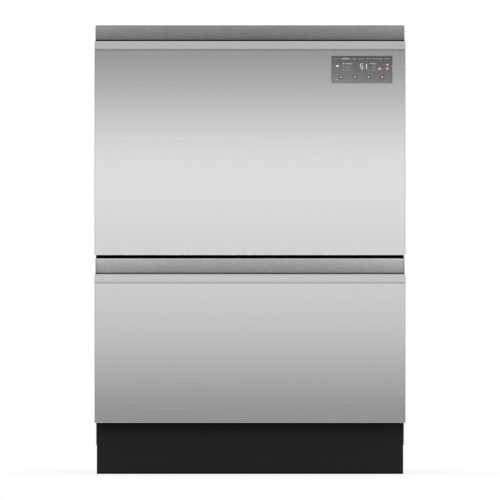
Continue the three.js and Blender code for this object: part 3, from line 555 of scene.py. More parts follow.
class Solid:
    """Points and faces gathered in millimetres until they become one piece."""

    def __init__(self):
        self.points = []
        self.faces = []

    def add(self, points, faces):
        first = len(self.points)
        self.points += [Vector(point) for point in points]
        self.faces += [[first + corner for corner in face] for face in faces]
        return self

    def join(self, other):
        return self.add(other.points, other.faces)

    def shifted(self, x=0, y=0, z=0):
        step = Vector((x, y, z))
        return Solid().add([point + step for point in self.points], self.faces)

    def mirrored(self):
        return Solid().add([(-x, y, z) for x, y, z in self.points], [face[::-1] for face in self.faces])

    def both_sides(self):
        """This solid and its copy on the left."""
        return self.mirrored().join(self)

    def laid(self, way, x=0, y=0, z=0):
        """A copy of a shape drawn facing up, turned to face another way and set at a place."""
        place = Vector((x, y, z))
        return Solid().add([Vector(WAYS[way](*point)) + place for point in self.points], self.faces)

    def turned(self, degrees, x=0, y=0):
        """A copy turned about the upright line through x and y."""
        cosine = math.cos(math.radians(degrees))
        sine = math.sin(math.radians(degrees))
        points = [
            (x + (px - x) * cosine - (py - y) * sine, y + (px - x) * sine + (py - y) * cosine, pz)
            for px, py, pz in self.points
        ]
        return Solid().add(points, self.faces)

    def box(self, xs, ys, zs):
        outline = [(xs[0], ys[0]), (xs[1], ys[0]), (xs[1], ys[1]), (xs[0], ys[1])]
        return self.prism(outline, "z", *zs)

    def prism(self, outline, along, start, end, holes=()):
        """A flat outline, with any holes, carried along an axis."""
        rings = [list(outline), *[list(hole) for hole in holes]]
        flat = [point for ring in rings for point in ring]
        place = AXES[along]
        points = [place(a, b, level) for level in (start, end) for a, b in flat]
        if holes:
            caps = tessellate_polygon([[Vector((a, b, 0)) for a, b in ring] for ring in rings])
        else:
            caps = [range(len(flat))]
        faces = [list(cap)[::-1] for cap in caps] + [[len(flat) + i for i in cap] for cap in caps]
        first = 0
        for ring in rings:
            for i in range(len(ring)):
                a = first + i
                b = first + (i + 1) % len(ring)
                faces.append([a, b, b + len(flat), a + len(flat)])
            first += len(ring)
        return self.add(points, faces)

    def loft(self, rings, capped=True, looped=False):
        """Skin over rings with as many points each; looped joins the last ring to the first."""
        count = len(rings[0])
        points = [point for ring in rings for point in ring]
        faces = []
        for level in range(len(rings) if looped else len(rings) - 1):
            here = level * count
            there = (level + 1) % len(rings) * count
            for i in range(count):
                j = (i + 1) % count
                faces.append([here + i, here + j, there + j, there + i])
        if capped and not looped:
            faces.append(list(range(count))[::-1])
            faces.append([len(points) - count + i for i in range(count)])
        return self.add(points, faces)

    def surface(self, rows):
        """Skin between open rows with as many points each."""
        count = len(rows[0])
        faces = [
            [row + i, row + i + 1, row + count + i + 1, row + count + i]
            for row in range(0, (len(rows) - 1) * count, count)
            for i in range(count - 1)
        ]
        return self.add([point for row in rows for point in row], faces)

    def pressed(self, outline, beads, holes=()):
        """A flat sheet with beads pressed into it and holes cut through it.

        A bead is a list of its rings from the edge inwards, each with its level.
        """
        rings = [list(outline), *[list(bead[0][0]) for bead in beads], *[list(hole) for hole in holes]]
        flat = [(a, b, 0) for ring in rings for a, b in ring]
        sheet = tessellate_polygon([[Vector((a, b, 0)) for a, b in ring] for ring in rings])
        self.add(flat, [list(triangle) for triangle in sheet])
        for bead in beads:
            rows = [[(a, b, level) for a, b in ring] for ring, level in bead]
            self.loft(rows, capped=False)
            self.faces.append([len(self.points) - len(rows[0]) + i for i in range(len(rows[0]))])
        return self

    def thread(self, radius, depth, pitch, start, end, steps=20):
        """An upright rod with a screw thread cut into it."""
        rings = []
        for level in range(int((end - start) / pitch * 6) + 1):
            z = start + level * pitch / 6
            turns = [i / steps for i in range(steps)]
            reach = [radius - depth * abs((z / pitch - turn) % 1 - 0.5) * 2 for turn in turns]
            angles = [math.tau * turn for turn in turns]
            rings.append([(r * math.cos(angle), r * math.sin(angle), z) for r, angle in zip(reach, angles)])
        return self.loft(rings)

    def lathe(self, profile, x=0, y=0, steps=48):
        """A profile of (radius, height) pairs turned about an upright line."""
        rings = [
            [
                (x + radius * math.cos(turn), y + radius * math.sin(turn), z)
                for turn in (math.tau * i / steps for i in range(steps))
            ]
            for radius, z in profile
        ]
        closed = profile[0] == profile[-1]
        return self.loft(rings[:-1] if closed else rings, looped=closed)

    def rod(self, start, end, radius, steps=16):
        """A round bar between two points."""
        return self.tube([start, end], radius, steps)

    def tube(self, path, radius, steps=8, looped=False):
        """A round bar along a path; radius is one number, or one for each point."""
        path = [Vector(point) for point in path]
        radii = radius if isinstance(radius, (list, tuple)) else [radius] * len(path)
        tangents = path_tangents(path, looped)
        side = tangents[0].orthogonal().normalized()
        rings = []
        for point, tangent, r in zip(path, tangents, radii):
            side = (side - tangent * side.dot(tangent)).normalized()
            other = tangent.cross(side)
            rings.append([
                point + (side * math.cos(turn) + other * math.sin(turn)) * r
                for turn in (math.tau * i / steps for i in range(steps))
            ])
        return self.loft(rings, looped=looped)


def path_tangents(path, looped):
    """The direction at each point of a path, halfway between the runs that meet there."""
    tangents = []
    last = len(path) - 1
    for i, point in enumerate(path):
        before = path[i - 1] if i > 0 or looped else point
        after = path[(i + 1) % len(path)] if i < last or looped else point
        arriving = (point - before).normalized()
        leaving = (after - point).normalized()
        tangents.append((arriving + leaving).normalized())
    return tangents


def rounded(corners, radius, steps=6, closed=False):
    """A path whose corners are rounded: corners are points, radius is one number or one for each."""
    corners = [Vector(corner) for corner in corners]
    radii = radius if isinstance(radius, (list, tuple)) else [radius] * len(corners)
    path = []
    for i, (here, bend) in enumerate(zip(corners, radii)):
        if bend == 0 or (not closed and i in (0, len(corners) - 1)):
            path.append(here)
            continue
        back = (corners[i - 1] - here).normalized()
        on = (corners[(i + 1) % len(corners)] - here).normalized()
        half = back.angle(on) / 2
        centre = here + (back + on).normalized() * (bend / math.sin(half))
        start = here + back * (bend / math.tan(half)) - centre
        end = here + on * (bend / math.tan(half)) - centre
        sweep = start.angle(end)
        for k in range(steps + 1):
            share = k / steps
            weight = (math.sin((1 - share) * sweep), math.sin(share * sweep))
            path.append(centre + (start * weight[0] + end * weight[1]) / math.sin(sweep))
    return path


def rectangle(a, b, radius=0, steps=4):
    """A rectangle between two pairs of values, with rounded corners."""
    corners = [(a[0], b[0]), (a[1], b[0]), (a[1], b[1]), (a[0], b[1])]
    return corners if radius == 0 else rounded(corners, radius, steps, closed=True)


def ring(half_x, half_y, radius, y, z, steps=8):
    """A level rounded rectangle about x = 0, anticlockwise from above."""
    points = []
    for corner in range(4):
        cx = (1 if corner in (0, 3) else -1) * (half_x - radius)
        cy = (1 if corner < 2 else -1) * (half_y - radius)
        for i in range(steps + 1):
            turn = (corner + i / steps) * math.pi / 2
            points.append((cx + radius * math.cos(turn), y + cy + radius * math.sin(turn), z))
    return points


def circle(radius, a=0, b=0, steps=24):
    turns = [math.tau * i / steps for i in range(steps)]
    return [(a + radius * math.cos(turn), b + radius * math.sin(turn)) for turn in turns]


def thickened(path, thickness):
    """A strip of sheet as a closed outline: the path, and the path offset to its left."""
    path = [Vector(point) for point in path]
    offset = []
    for i, point in enumerate(path):
        arriving = (point - path[i - 1]).normalized() if i else (path[1] - point).normalized()
        leaving = (path[i + 1] - point).normalized() if i + 1 < len(path) else arriving
        middle = (arriving + leaving).normalized()
        reach = thickness / max(0.3, middle.dot(arriving))
        offset.append(point + Vector((-middle.y, middle.x)) * reach)
    return path + offset[::-1]


def grown(outline, distance):
    """A closed anticlockwise outline moved outwards."""
    outline = [Vector(point) for point in outline]
    moved = []
    for i, point in enumerate(outline):
        arriving = (point - outline[i - 1]).normalized()
        leaving = (outline[(i + 1) % len(outline)] - point).normalized()
        middle = (arriving + leaving).normalized()
        moved.append(point + Vector((middle.y, -middle.x)) * (distance / max(0.3, middle.dot(arriving))))
    return moved


def bead(a, b, radius, steps, levels):
    """The rings of a pressed bead: a rounded rectangle stepped inwards to (inset, level) pairs."""
    return [
        (rectangle((a[0] + inset, a[1] - inset), (b[0] + inset, b[1] - inset), radius - inset, steps), level)
        for inset, level in levels
    ]


def bowed(start, control, end, steps=12):
    """Points along a curve that leaves start towards control and arrives at end from it, without the end."""
    start, control, end = Vector(start), Vector(control), Vector(end)
    shares = [i / steps for i in range(steps)]
    return [start * (1 - t) ** 2 + control * (2 * t * (1 - t)) + end * t * t for t in shares]


def flowing(points, spacing):
    """A smooth path through points, with a point about every spacing along it."""
    points = [Vector(point) for point in points]
    points = [2 * points[0] - points[1], *points, 2 * points[-1] - points[-2]]
    path = []
    for before, start, end, after in zip(points, points[1:], points[2:], points[3:]):
        spans = ((before, start), (start, end), (end, after))
        arriving, across, leaving = [(b - a).length ** 0.5 for a, b in spans]
        run = (end - start) / across
        leave = ((start - before) / arriving - (end - before) / (arriving + across) + run) * across
        arrive = (run - (after - start) / (across + leaving) + (after - end) / leaving) * across
        steps = max(2, round((end - start).length / spacing))
        for t in (i / steps for i in range(steps)):
            path.append(
                start * (2 * t ** 3 - 3 * t ** 2 + 1) + leave * (t ** 3 - 2 * t ** 2 + t)
                + end * (3 * t ** 2 - 2 * t ** 3) + arrive * (t ** 3 - t ** 2))
    return [*path, points[-2]]


def evenly(count, first, last):
    return [first + (last - first) * i / (count - 1) for i in range(count)]


# ---------------------------------------------------------------- pieces


def piece(name, solid, slot, body, replaces=(), rim=0, finish=None, sheet=0, out=None, bevel=0, angle=35):
    """One visible piece: its mesh, its finish, the body that it rides on, and the nodes that it stands for.

    Its heights count from rim. sheet thickens an open surface on the side away from out, and bevel rounds the
    edges that are sharper than angle.
    """
    mesh = bpy.data.meshes.new(name)
    built = bmesh.new()
    corners = [built.verts.new(Vector((x, y + FACE, z + rim)) * MM) for x, y, z in solid.points]
    for face in solid.faces:
        if len(set(face)) > 2:
            built.faces.new([corners[i] for i in dict.fromkeys(face)])
    bmesh.ops.remove_doubles(built, verts=built.verts, dist=2e-6)
    bmesh.ops.dissolve_degenerate(built, edges=built.edges, dist=1e-6)
    bmesh.ops.recalc_face_normals(built, faces=built.faces)
    if out and sum((face.normal * face.calc_area() for face in built.faces), Vector()).dot(out) < 0:
        bmesh.ops.reverse_faces(built, faces=built.faces)
    built.to_mesh(mesh)
    built.free()
    mesh.polygons.foreach_set("use_smooth", [True] * len(mesh.polygons))
    mesh.set_sharp_from_angle(angle=math.radians(angle))
    made = bpy.data.objects.new(name, mesh)
    bpy.context.scene.collection.objects.link(made)
    mesh.materials.append(FINISHES[finish or slot])
    if sheet:
        folded = made.modifiers.new("Sheet", "SOLIDIFY")
        folded.thickness = sheet * MM
        folded.offset = -1
        folded.use_even_offset = True
    if bevel:
        round_edges(made, bevel, angle)
    flatten = made.modifiers.new("Flats", "WEIGHTED_NORMAL")
    flatten.keep_sharp = True
    if body:
        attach(made, body)
    if replaces:
        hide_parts(*replaces)
    return made


def drawer_piece(drawer, name, solid, slot, node=None, **more):
    """A piece that rides on a drawer, with heights from its rim, and stands for one of the drawer's nodes."""
    replaced = [f"{drawer}_{node}"] if node else ()
    return piece(f"{drawer}_{name}", solid, slot, f"{drawer}_drawer", replaced, RIMS[drawer], **more)


def round_edges(made, radius, angle=35, segments=2):
    """A rounded edge on every corner sharper than angle."""
    edge = made.modifiers.new("Edge", "BEVEL")
    edge.width = radius * MM
    edge.segments = segments
    edge.limit_method = "ANGLE"
    edge.angle_limit = math.radians(angle)
    edge.harden_normals = True


def finish_node(node, slot, bevel=0):
    """A carried-over part takes its finish, and rounded edges where it shows."""
    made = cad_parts[node]
    made.data.materials.clear()
    made.data.materials.append(FINISHES[slot])
    if bevel:
        made.data.polygons.foreach_set("use_smooth", [True] * len(made.data.polygons))
        round_edges(made, bevel, 30)


class Make(bpy.types.Operator):
    """Base of the operators that make the dishwasher's pieces."""

    bl_options = {"REGISTER", "UNDO"}

    def execute(self, context):
        self.make(context.scene)
        return {"FINISHED"}


# A screw's head: a dome with a sunk socket.
SCREW = Solid().lathe(
    [(0.9, 0.8), (1.5, 0.9), (1.7, 2.1), (2.8, 1.9), (3.7, 1.1), (4, 0.2), (4, -1)], steps=20)
# The tub, in its drawer's own heights: mouth, middle, floor and underside.
MOUTH_X = 262
MOUTH_Y = 230
MOUTH_BEND = 34
TUB_MIDDLE = 306
TUB_FLOOR = -252
SUMP_UNDERSIDE = -278.5
DRAWER_LOW = -308
# The drain pump's outlet, beside the motor: place across and height. The hose starts behind it.
PUMP_X = -70
PUMP_HEIGHT = -293.5
HOSE_START = 419


# ---------------------------------------------------------------- studio


# Height in metres up the light card, and its brightness there.
LIGHT_CARD = [
    (-0.2, 0), (0.1, 0), (0.2, 0.73), (0.3, 0.85), (0.42, 0.82), (0.54, 0.96), (0.6, 1.44), (0.65, 1.44),
    (0.72, 0.47), (0.84, 0.12), (1.1, 0.26), (1.5, 0.88), (1.7, 0.95), (2.1, 0.4), (3.0, 0.7),
]
CARD_LEVEL = max(level for _, level in LIGHT_CARD)
CARD_HALF = 2
# The grey flag lies just above the floor, from this far before the fronts to the card.
FLAG_START = 0.38
FLAG_LEVEL = 0.3
FLAG_HEIGHT = 0.015
# Distances from the middle of the object over which the floor turns white, and how white it is before them.
FLOOR_FADE = (0.3, 0.65)
FLOOR_WHITE = 0.88
FLOOR_CORNERS = [(-8, -16, 0), (8, -16, 0), (8, 8, 0), (-8, 8, 0)]
WORLD_LEVEL = 0.62


class MakeStudio(Make):
    """Camera, light card, lamp, backdrop and floor."""

    bl_idname = "dishwasher.studio"
    bl_label = "Studio"

    def make(self, scene):
        studio = scene.dishwasher_studio
        self.make_camera(scene, studio)
        self.make_world(scene)
        self.make_floor()
        self.make_card(FACE * MM - studio.card_distance)
        self.make_lamp()
        scene.view_settings.view_transform = "Standard"

    def make_camera(self, scene, studio):
        """A long lens square to the fronts, at the height where the photograph's middle row lies."""
        lens = bpy.data.cameras.new("camera")
        frame_width = studio.image_pixels * studio.scale
        lens.lens = lens.sensor_width * studio.distance / frame_width
        lens.clip_start = 0.1
        lens.clip_end = 100
        camera = bpy.data.objects.new("camera", lens)
        height = (studio.floor_line - studio.image_pixels / 2) * studio.scale
        camera.location = (0, FACE * MM - studio.distance, height)
        camera.rotation_euler = (math.pi / 2, 0, 0)
        scene.collection.objects.link(camera)
        scene.camera = camera

    def make_world(self, scene):
        """White wherever it is seen or mirrored, and softer as a light on plain surfaces."""
        world = bpy.data.worlds.new("world")
        scene.world = world
        world.use_nodes = True
        tree = Tree(world.node_tree)
        inputs = {"Value": tree.seen(), "To Min": WORLD_LEVEL, "To Max": 1}
        background = tree.nodes["Background"]
        tree.feed(background.inputs["Color"], (1, 1, 1))
        tree.feed(background.inputs["Strength"], tree.node("ShaderNodeMapRange", None, inputs).out(0))

    def make_floor(self):
        """A pale floor that keeps the object's shadow and fades into the white around it."""
        shader = Shader("studio_floor", {"Base Color": (0.8, 0.8, 0.8), "Roughness": 0.9})
        reach = shader.node("ShaderNodeVectorMath", {"operation": "LENGTH"}, {0: shader.point()}).out("Value")
        whiteness = shader.seen() * shader.ramp(reach, *FLOOR_FADE, FLOOR_WHITE)
        plain = Value(shader, shader.surface.outputs[0])
        inputs = {"Fac": whiteness, 1: plain, 2: shader.light((1, 1, 1), 1)}
        shader.feed(shader.output, shader.node("ShaderNodeMixShader", None, inputs).out(0))
        self.make_plane("studio_floor", shader.material, FLOOR_CORNERS)

    def make_card(self, y):
        """A graduated light card before the fronts, which the steel mirrors, and a grey flag at its foot."""
        shader = Shader("light_card", {"Base Color": (0, 0, 0)})
        tone = shader.curve(shader.axis(2), [(height, level / CARD_LEVEL) for height, level in LIGHT_CARD])
        shader.glow(tone, CARD_LEVEL)
        low = LIGHT_CARD[0][0]
        high = LIGHT_CARD[-1][0]
        corners = [(-CARD_HALF, y, low), (CARD_HALF, y, low), (CARD_HALF, y, high), (-CARD_HALF, y, high)]
        card = self.make_plane("light_card", shader.material, corners)
        grey = Shader("dark_flag", {"Base Color": (0, 0, 0)})
        grey.glow((1, 1, 1), FLAG_LEVEL)
        near = FACE * MM - FLAG_START
        z = FLAG_HEIGHT
        corners = [(-CARD_HALF, y, z), (CARD_HALF, y, z), (CARD_HALF, near, z), (-CARD_HALF, near, z)]
        flag = self.make_plane("dark_flag", grey.material, corners)
        flag.visible_diffuse = False
        for made in (card, flag):
            made.visible_camera = False
            made.visible_shadow = False

    def make_plane(self, name, material, corners):
        mesh = bpy.data.meshes.new(name)
        mesh.from_pydata(corners, [], [(0, 1, 2, 3)])
        mesh.materials.append(material)
        made = bpy.data.objects.new(name, mesh)
        bpy.context.scene.collection.objects.link(made)
        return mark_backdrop(made) or made

    def make_lamp(self):
        """A broad soft lamp overhead, a little behind the object."""
        lamp = bpy.data.lights.new("overhead", "AREA")
        lamp.shape = "RECTANGLE"
        lamp.size = 2.4
        lamp.size_y = 1.6
        lamp.energy = 30
        made = bpy.data.objects.new("overhead", lamp)
        made.location = (0, 0.5, 2.6)
        made.visible_camera = False
        made.visible_glossy = False
        bpy.context.scene.collection.objects.link(made)


# ---------------------------------------------------------------- fronts


# Steps round a fold's quarter turn, and round the hem's half turn.
FOLD_STEPS = 6
HEM_STEPS = 8
# How far the rolled hem stands above the end of the lip's face, and how far it reaches down behind it.
HEM_RISE = 1.3
HEM_REACH = 12
# The opening for the display is this much larger than the display on every side.
DISPLAY_GAP = 0.3
SCOOP_WALL = 1.5


class MakeFronts(Make):
    """The two folded stainless fronts and the finger scoops behind their lips."""

    bl_idname = "dishwasher.fronts"
    bl_label = "Fronts and scoops"

    def make(self, scene):
        settings = scene.dishwasher_front
        self.sizes = {name: getattr(settings, name) / MM for name in settings.__annotations__}
        for drawer in DRAWERS:
            body = f"{drawer}_drawer"
            piece(
                f"{drawer}_skin", self.skin(drawer), "stainless", body, [f"{drawer}_front_panel"],
                sheet=self.sizes["skin"], bevel=0.15, angle=50)
            scoop = self.scoop(drawer)
            piece(f"{drawer}_scoop", scoop, "scoop_steel", body, [f"{drawer}_handle_scoop"], bevel=0.15)

    def fold(self):
        """A quarter turn of the sheet, as steps away from the outermost lines of the two planes that meet."""
        bend = self.sizes["bend"]
        turns = [math.pi / 2 * i / FOLD_STEPS for i in range(FOLD_STEPS + 1)]
        return [(bend * (1 - math.sin(turn)), bend * (1 - math.cos(turn))) for turn in turns]

    def display_opening(self):
        """The opening's two ends across and its two ends up."""
        low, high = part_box("control_panel")
        return [(low[axis] / MM - DISPLAY_GAP, high[axis] / MM + DISPLAY_GAP) for axis in (0, 2)]

    def stations(self, drawer):
        """Depth and height up the front: bottom fold, face, pressed crease and leaning lip."""
        crease = LIP_TOPS[drawer] - self.sizes["lip_height"]
        depth = self.sizes["crease_depth"]
        corners = [
            (0, crease - 4), (0, crease - 2.5), (depth, crease - 2.2), (depth, crease - 0.3), (0.4, crease),
            (self.sizes["lip_lean"], LIP_TOPS[drawer] - HEM_RISE),
        ]
        stations = [(back, FRONT_BOTTOMS[drawer] + rise) for back, rise in self.fold()]
        if drawer == "upper":
            stations += [(0, z) for z in self.display_opening()[1]]
        return stations + [tuple(point) for point in rounded(corners, [0, 0.15, 0.1, 0.1, 0.3, 0], 3)]

    def skin(self, drawer):
        """The sheet's outer surface, open at the back; its thickness is added after."""
        cut_x, cut_z = self.display_opening()
        between = cut_x if drawer == "upper" else ()
        rows = []
        for depth, z in self.stations(drawer):
            left = [(-FRONT_HALF, FRONT_RETURN, z)]
            left += [(across - FRONT_HALF, depth + back, z) for back, across in self.fold()]
            right = [(-x, y, z) for x, y, z in reversed(left)]
            rows.append([*left, *((x, depth, z) for x in between), *right])
        solid = Solid().surface(rows)
        opening = Vector((cut_x[0], 0, cut_z[0]))
        solid.faces = [face for face in solid.faces if solid.points[face[0]] != opening]
        solid.faces.append(list(range(len(rows[0]))))
        return solid.join(self.hem(drawer, rows[-1]))

    def hem(self, drawer, top_row):
        """The lip's top edge rolled back on itself."""
        lip_lean = self.sizes["lip_lean"]
        lean = Vector((lip_lean, self.sizes["lip_height"])).normalized()
        inward = Vector((lean.y, -lean.x))
        roll = self.sizes["skin"] + 0.15
        centre = Vector((lip_lean, LIP_TOPS[drawer] - HEM_RISE)) + inward * roll
        turns = [math.pi * i / HEM_STEPS for i in range(HEM_STEPS + 1)]
        path = [centre + (lean * math.sin(turn) - inward * math.cos(turn)) * roll for turn in turns]
        path.append(path[-1] - lean * HEM_REACH)
        front = [x for x, y, _ in top_row if abs(y - lip_lean) < 1e-6]
        return Solid().surface([[(x, y, z) for x in front] for y, z in path])

    def scoop(self, drawer):
        """A strip bent into a trough behind the lip, and a plate that closes each end."""
        _, high = extent(f"{drawer}_handle_scoop")
        lip = LIP_TOPS[drawer]
        top = high.z + SCOOP_MARGIN
        floor = lip - self.sizes["scoop_drop"]
        back = high.y
        wall = back - SCOOP_WALL
        front = self.sizes["skin"] + 0.3 + SCOOP_WALL
        corners = [
            (back, top - 0.6), (back, top), (wall, top), (wall, floor), (front, floor), (front, floor + 7),
        ]
        path = rounded(corners, [0, 0.3, 0.3, self.sizes["scoop_radius"], 2, 0], 12)
        strip = Solid().prism(thickened(path, SCOOP_WALL), "x", 1 - SCOOP_HALF, SCOOP_HALF - 1)
        corners = [
            (front, floor - 1), (wall + 1, floor - 1), (wall + 1, top - 1), (wall - 4, top - 1),
            (self.sizes["lip_lean"] + 5, lip + 2), (front + 1, lip - self.sizes["lip_height"] - 2),
        ]
        end = rounded(corners, [3, 14, 1, 3, 6, 2], 6, closed=True)
        return strip.join(Solid().prism(end, "x", SCOOP_HALF - SCOOP_WALL, SCOOP_HALF).both_sides())


# ---------------------------------------------------------------- touch display


GLASS = 2.4
MODULE_DEPTH = 17
MARK_RELIEF = 0.06
# Places on the display count across and up from its middle.
# Words: left end, right end, height of the middle line, height of the letters, and whether they are bright.
WORDS = [
    (-54.4, -42.8, 20.8, 2.6, False), (-39, -23.6, 20.8, 2.6, True), (-19.7, -11.1, 20.8, 2.6, False),
    (-6.2, 4.4, 20.8, 2.6, False), (9.2, 16.9, 20.8, 2.6, False), (20.7, 40, 20.8, 2.6, False),
    (42.9, 54.4, 20.8, 2.6, False), (-32.2, -18.8, 11.2, 2.4, True), (-32.2, -22.6, 5.2, 2.4, False),
    (-32.2, -22.6, -0.7, 2.4, False), (16.1, 26.9, 11.2, 2.4, True), (20.4, 26.6, 5.2, 1.8, False),
    (20.4, 26.6, -0.4, 1.8, False),
]
# Round marks: finish, radius, corners, and place.
DOTS = [
    ("white_mark", 1.1, 16, -35.5, 11.2), ("white_mark", 0.7, 16, -35.5, 5.2),
    ("white_mark", 0.7, 16, -35.5, -0.7), ("white_mark", 0.9, 12, -48.9, -19.3),
    ("white_mark", 1.6, 20, 49.2, 1.6), ("dim_mark", 1.2, 20, 34.1, 1.4),
    ("red_mark", 1.8, 20, 41.8, 9.2), ("red_mark", 1.8, 20, 41.8, 1.2),
]
# Bars: finish, half width, half height, corner radius, and place.
BARS = [
    ("white_mark", 2.8, 1.7, 1, -47.2, 6.9), ("dim_mark", 1.2, 0.5, 0.3, -48.6, 1.9),
    ("white_mark", 1.9, 1.3, 1.2, 49.2, 9.4), ("white_mark", 0.5, 1.25, 0, 49.2, 2.85),
    ("dim_mark", 1.4, 0.5, 0.4, -48.8, -9.8), ("dim_mark", 1.4, 0.5, 0.4, -23, -20.7),
    ("dim_mark", 1.4, 0.5, 0.4, 47.9, -20.7),
]
# The touch keys: places of the first and last across, and their height.
KEYS = (-40.1, 39.3)
KEY_LEVEL = -14.7


class MakeDisplay(Make):
    """The touch display: smoked glass, lit marks that spell nothing, and the module behind."""

    bl_idname = "dishwasher.display"
    bl_label = "Touch display"

    def make(self, scene):
        low, high = extent("control_panel")
        self.middle = ((low.x + high.x) / 2, (low.z + high.z) / 2)
        tile = Solid().prism(rectangle((low.x, high.x), (low.z, high.z), 0.8), "y", 0, GLASS)
        self.add("glass", tile, ["control_panel"], bevel=0.3)
        self.add("module", self.module(low, high), finish="dark_plastic", bevel=0.6)
        for finish, marks in self.marks().items():
            self.add(finish, marks, finish=finish)

    def add(self, name, solid, replaced=(), **more):
        piece(f"display_{name}", solid, "panel_glass", "upper_drawer", replaced, **more)

    def module(self, low, high):
        """The housing behind the glass, with its plug and screws."""
        module = Solid().box((low.x + 6, high.x - 6), (GLASS - 0.4, MODULE_DEPTH), (low.z + 4, high.z - 6))
        module.box((low.x + 20, low.x + 52), (MODULE_DEPTH - 1, MODULE_DEPTH + 5), (low.z + 18, low.z + 30))
        for x in evenly(4, low.x + 12, high.x - 12):
            module.join(SCREW.laid("back", x, MODULE_DEPTH, low.z + 9))
        return module

    def mark(self, outline, a=0, b=0, holes=(), depth=MARK_RELIEF):
        """A flat symbol on the glass."""
        def place(points):
            return [(self.middle[0] + a + x, self.middle[1] + b + z) for x, z in points]

        return Solid().prism(place(outline), "y", -depth, 0.3, [place(hole) for hole in holes])

    def word(self, first, last, level, height, draw):
        """A row of strokes and crossbars as wide as a word."""
        marks = Solid()
        foot_line = level - height / 2
        a = first
        while a < last:
            width = draw.uniform(0.5, 0.8)
            foot = draw.choice((0, 0, 0, 0.35)) * height
            top = draw.choice((0.62, 0.7, 1)) * height
            marks.join(self.mark(rectangle((a, a + width), (foot_line + foot, foot_line + top))))
            bar = level + draw.choice((-0.4, 0, 0.2)) * height
            marks.join(self.mark(rectangle((a, min(a + 1.5, last)), (bar, bar + 0.4))))
            a += draw.uniform(1.5, 2.1)
        return marks

    def digits(self):
        """The time left, a five and a one."""
        corners = [(5.2, 10), (0.8, 10), (0.3, 5.6), (2.8, 6.4), (5.6, 5.1), (5.6, 1.5), (2.7, 0), (0, 1.1)]
        five = thickened(rounded(corners, [0, 0, 0.3, 1.6, 1.6, 1.8, 1.6, 0], 5), -1.15)
        one = [(-0.8, 8.2), (0.5, 10), (1.7, 10), (1.7, 0.2), (0.3, 0.2), (0.3, 8.4)]
        return self.mark(five, -2.8, 0.3).join(self.mark(one, 8.2, 0.3))

    def marks(self):
        """All the marks, gathered under the names of their finishes."""
        draw = random.Random(5)
        marks = {finish: Solid() for finish in ("white_mark", "dim_mark", "red_mark", "touch_ring")}
        for first, last, level, height, bright in WORDS:
            word = self.word(first, last, level, height, draw)
            marks["white_mark" if bright else "dim_mark"].join(word)
        for finish, radius, corners, a, b in DOTS:
            marks[finish].join(self.mark(circle(radius, steps=corners), a, b))
        for finish, half_width, half_height, radius, a, b in BARS:
            bar = rectangle((-half_width, half_width), (-half_height, half_height), radius)
            marks[finish].join(self.mark(bar, a, b))
        marks["white_mark"].join(self.digits()).join(self.mark(circle(2.3), 34.1, 1.4, [circle(1.4)]))
        for a in evenly(4, *KEYS):
            marks["touch_ring"].join(self.mark(circle(4.2), a, KEY_LEVEL, [circle(2.4)]))
            marks["dim_mark"].join(self.mark(circle(2.2), a, KEY_LEVEL))
            spot = self.mark(circle(0.8, steps=16), a, KEY_LEVEL, depth=2 * MARK_RELIEF)
            marks["white_mark"].join(spot)
        return marks


# ---------------------------------------------------------------- cabinet


# Depth and height of the notch in the side walls for the toe board.
TOE_NOTCH = (55, 97.3)
# Side walls: radius of their folds, width of the front and rear returns, and heights of the beads.
SIDE_BEND = 2.5
SIDE_RETURNS = (2.6, 15)
SIDE_BEADS = (620, 240, 160)
TOP_BEND = 1.6
# Beads in the sheets, as (inset, level) steps.
PRESSED_IN = [(0, 0), (0.5, -0.12), (1.4, -0.6), (2.3, -1.08), (3, -1.2)]
SUNK_BEAD = [(0, 0), (0.5, -0.2), (1.6, -1), (2.7, -1.8), (3.4, -2)]
RAISED_FRAME = [
    (0, 0), (0.5, 0.1), (1, 0.35), (1.6, 0.6), (2.2, 0.7), (6, 0.7), (6.6, 0.6), (7.2, 0.35), (7.8, 0),
]
FRAME_RISE = 0.7
# Notches in the back sheet's bottom edge: the top of both, and the ends of each across.
NOTCH_TOP = 132
HOSE_NOTCH = (-275, -205)
INLET_NOTCH = (190, 262)
# The wiper under the toe board: depth behind its face, and height.
WIPER = [(0.6, 0.2), (1.6, 0.2), (1.6, 2.4), (-0.3, 3.2), (-0.3, 2.6)]
# The plate over the hose notch: its two faces' depths, then place across and height of each hose's tail.
HOSE_PLATE = (572.4, 575)
HOSE_TAILS = ((-258, 108), (-224, 121))
TAIL = [(6, -9), (9.5, -9), (9.5, 0), (13, 0.5), (13, 3), (10, 4), (10, 9), (9, 9.5), (6, 9.5), (6, -9)]


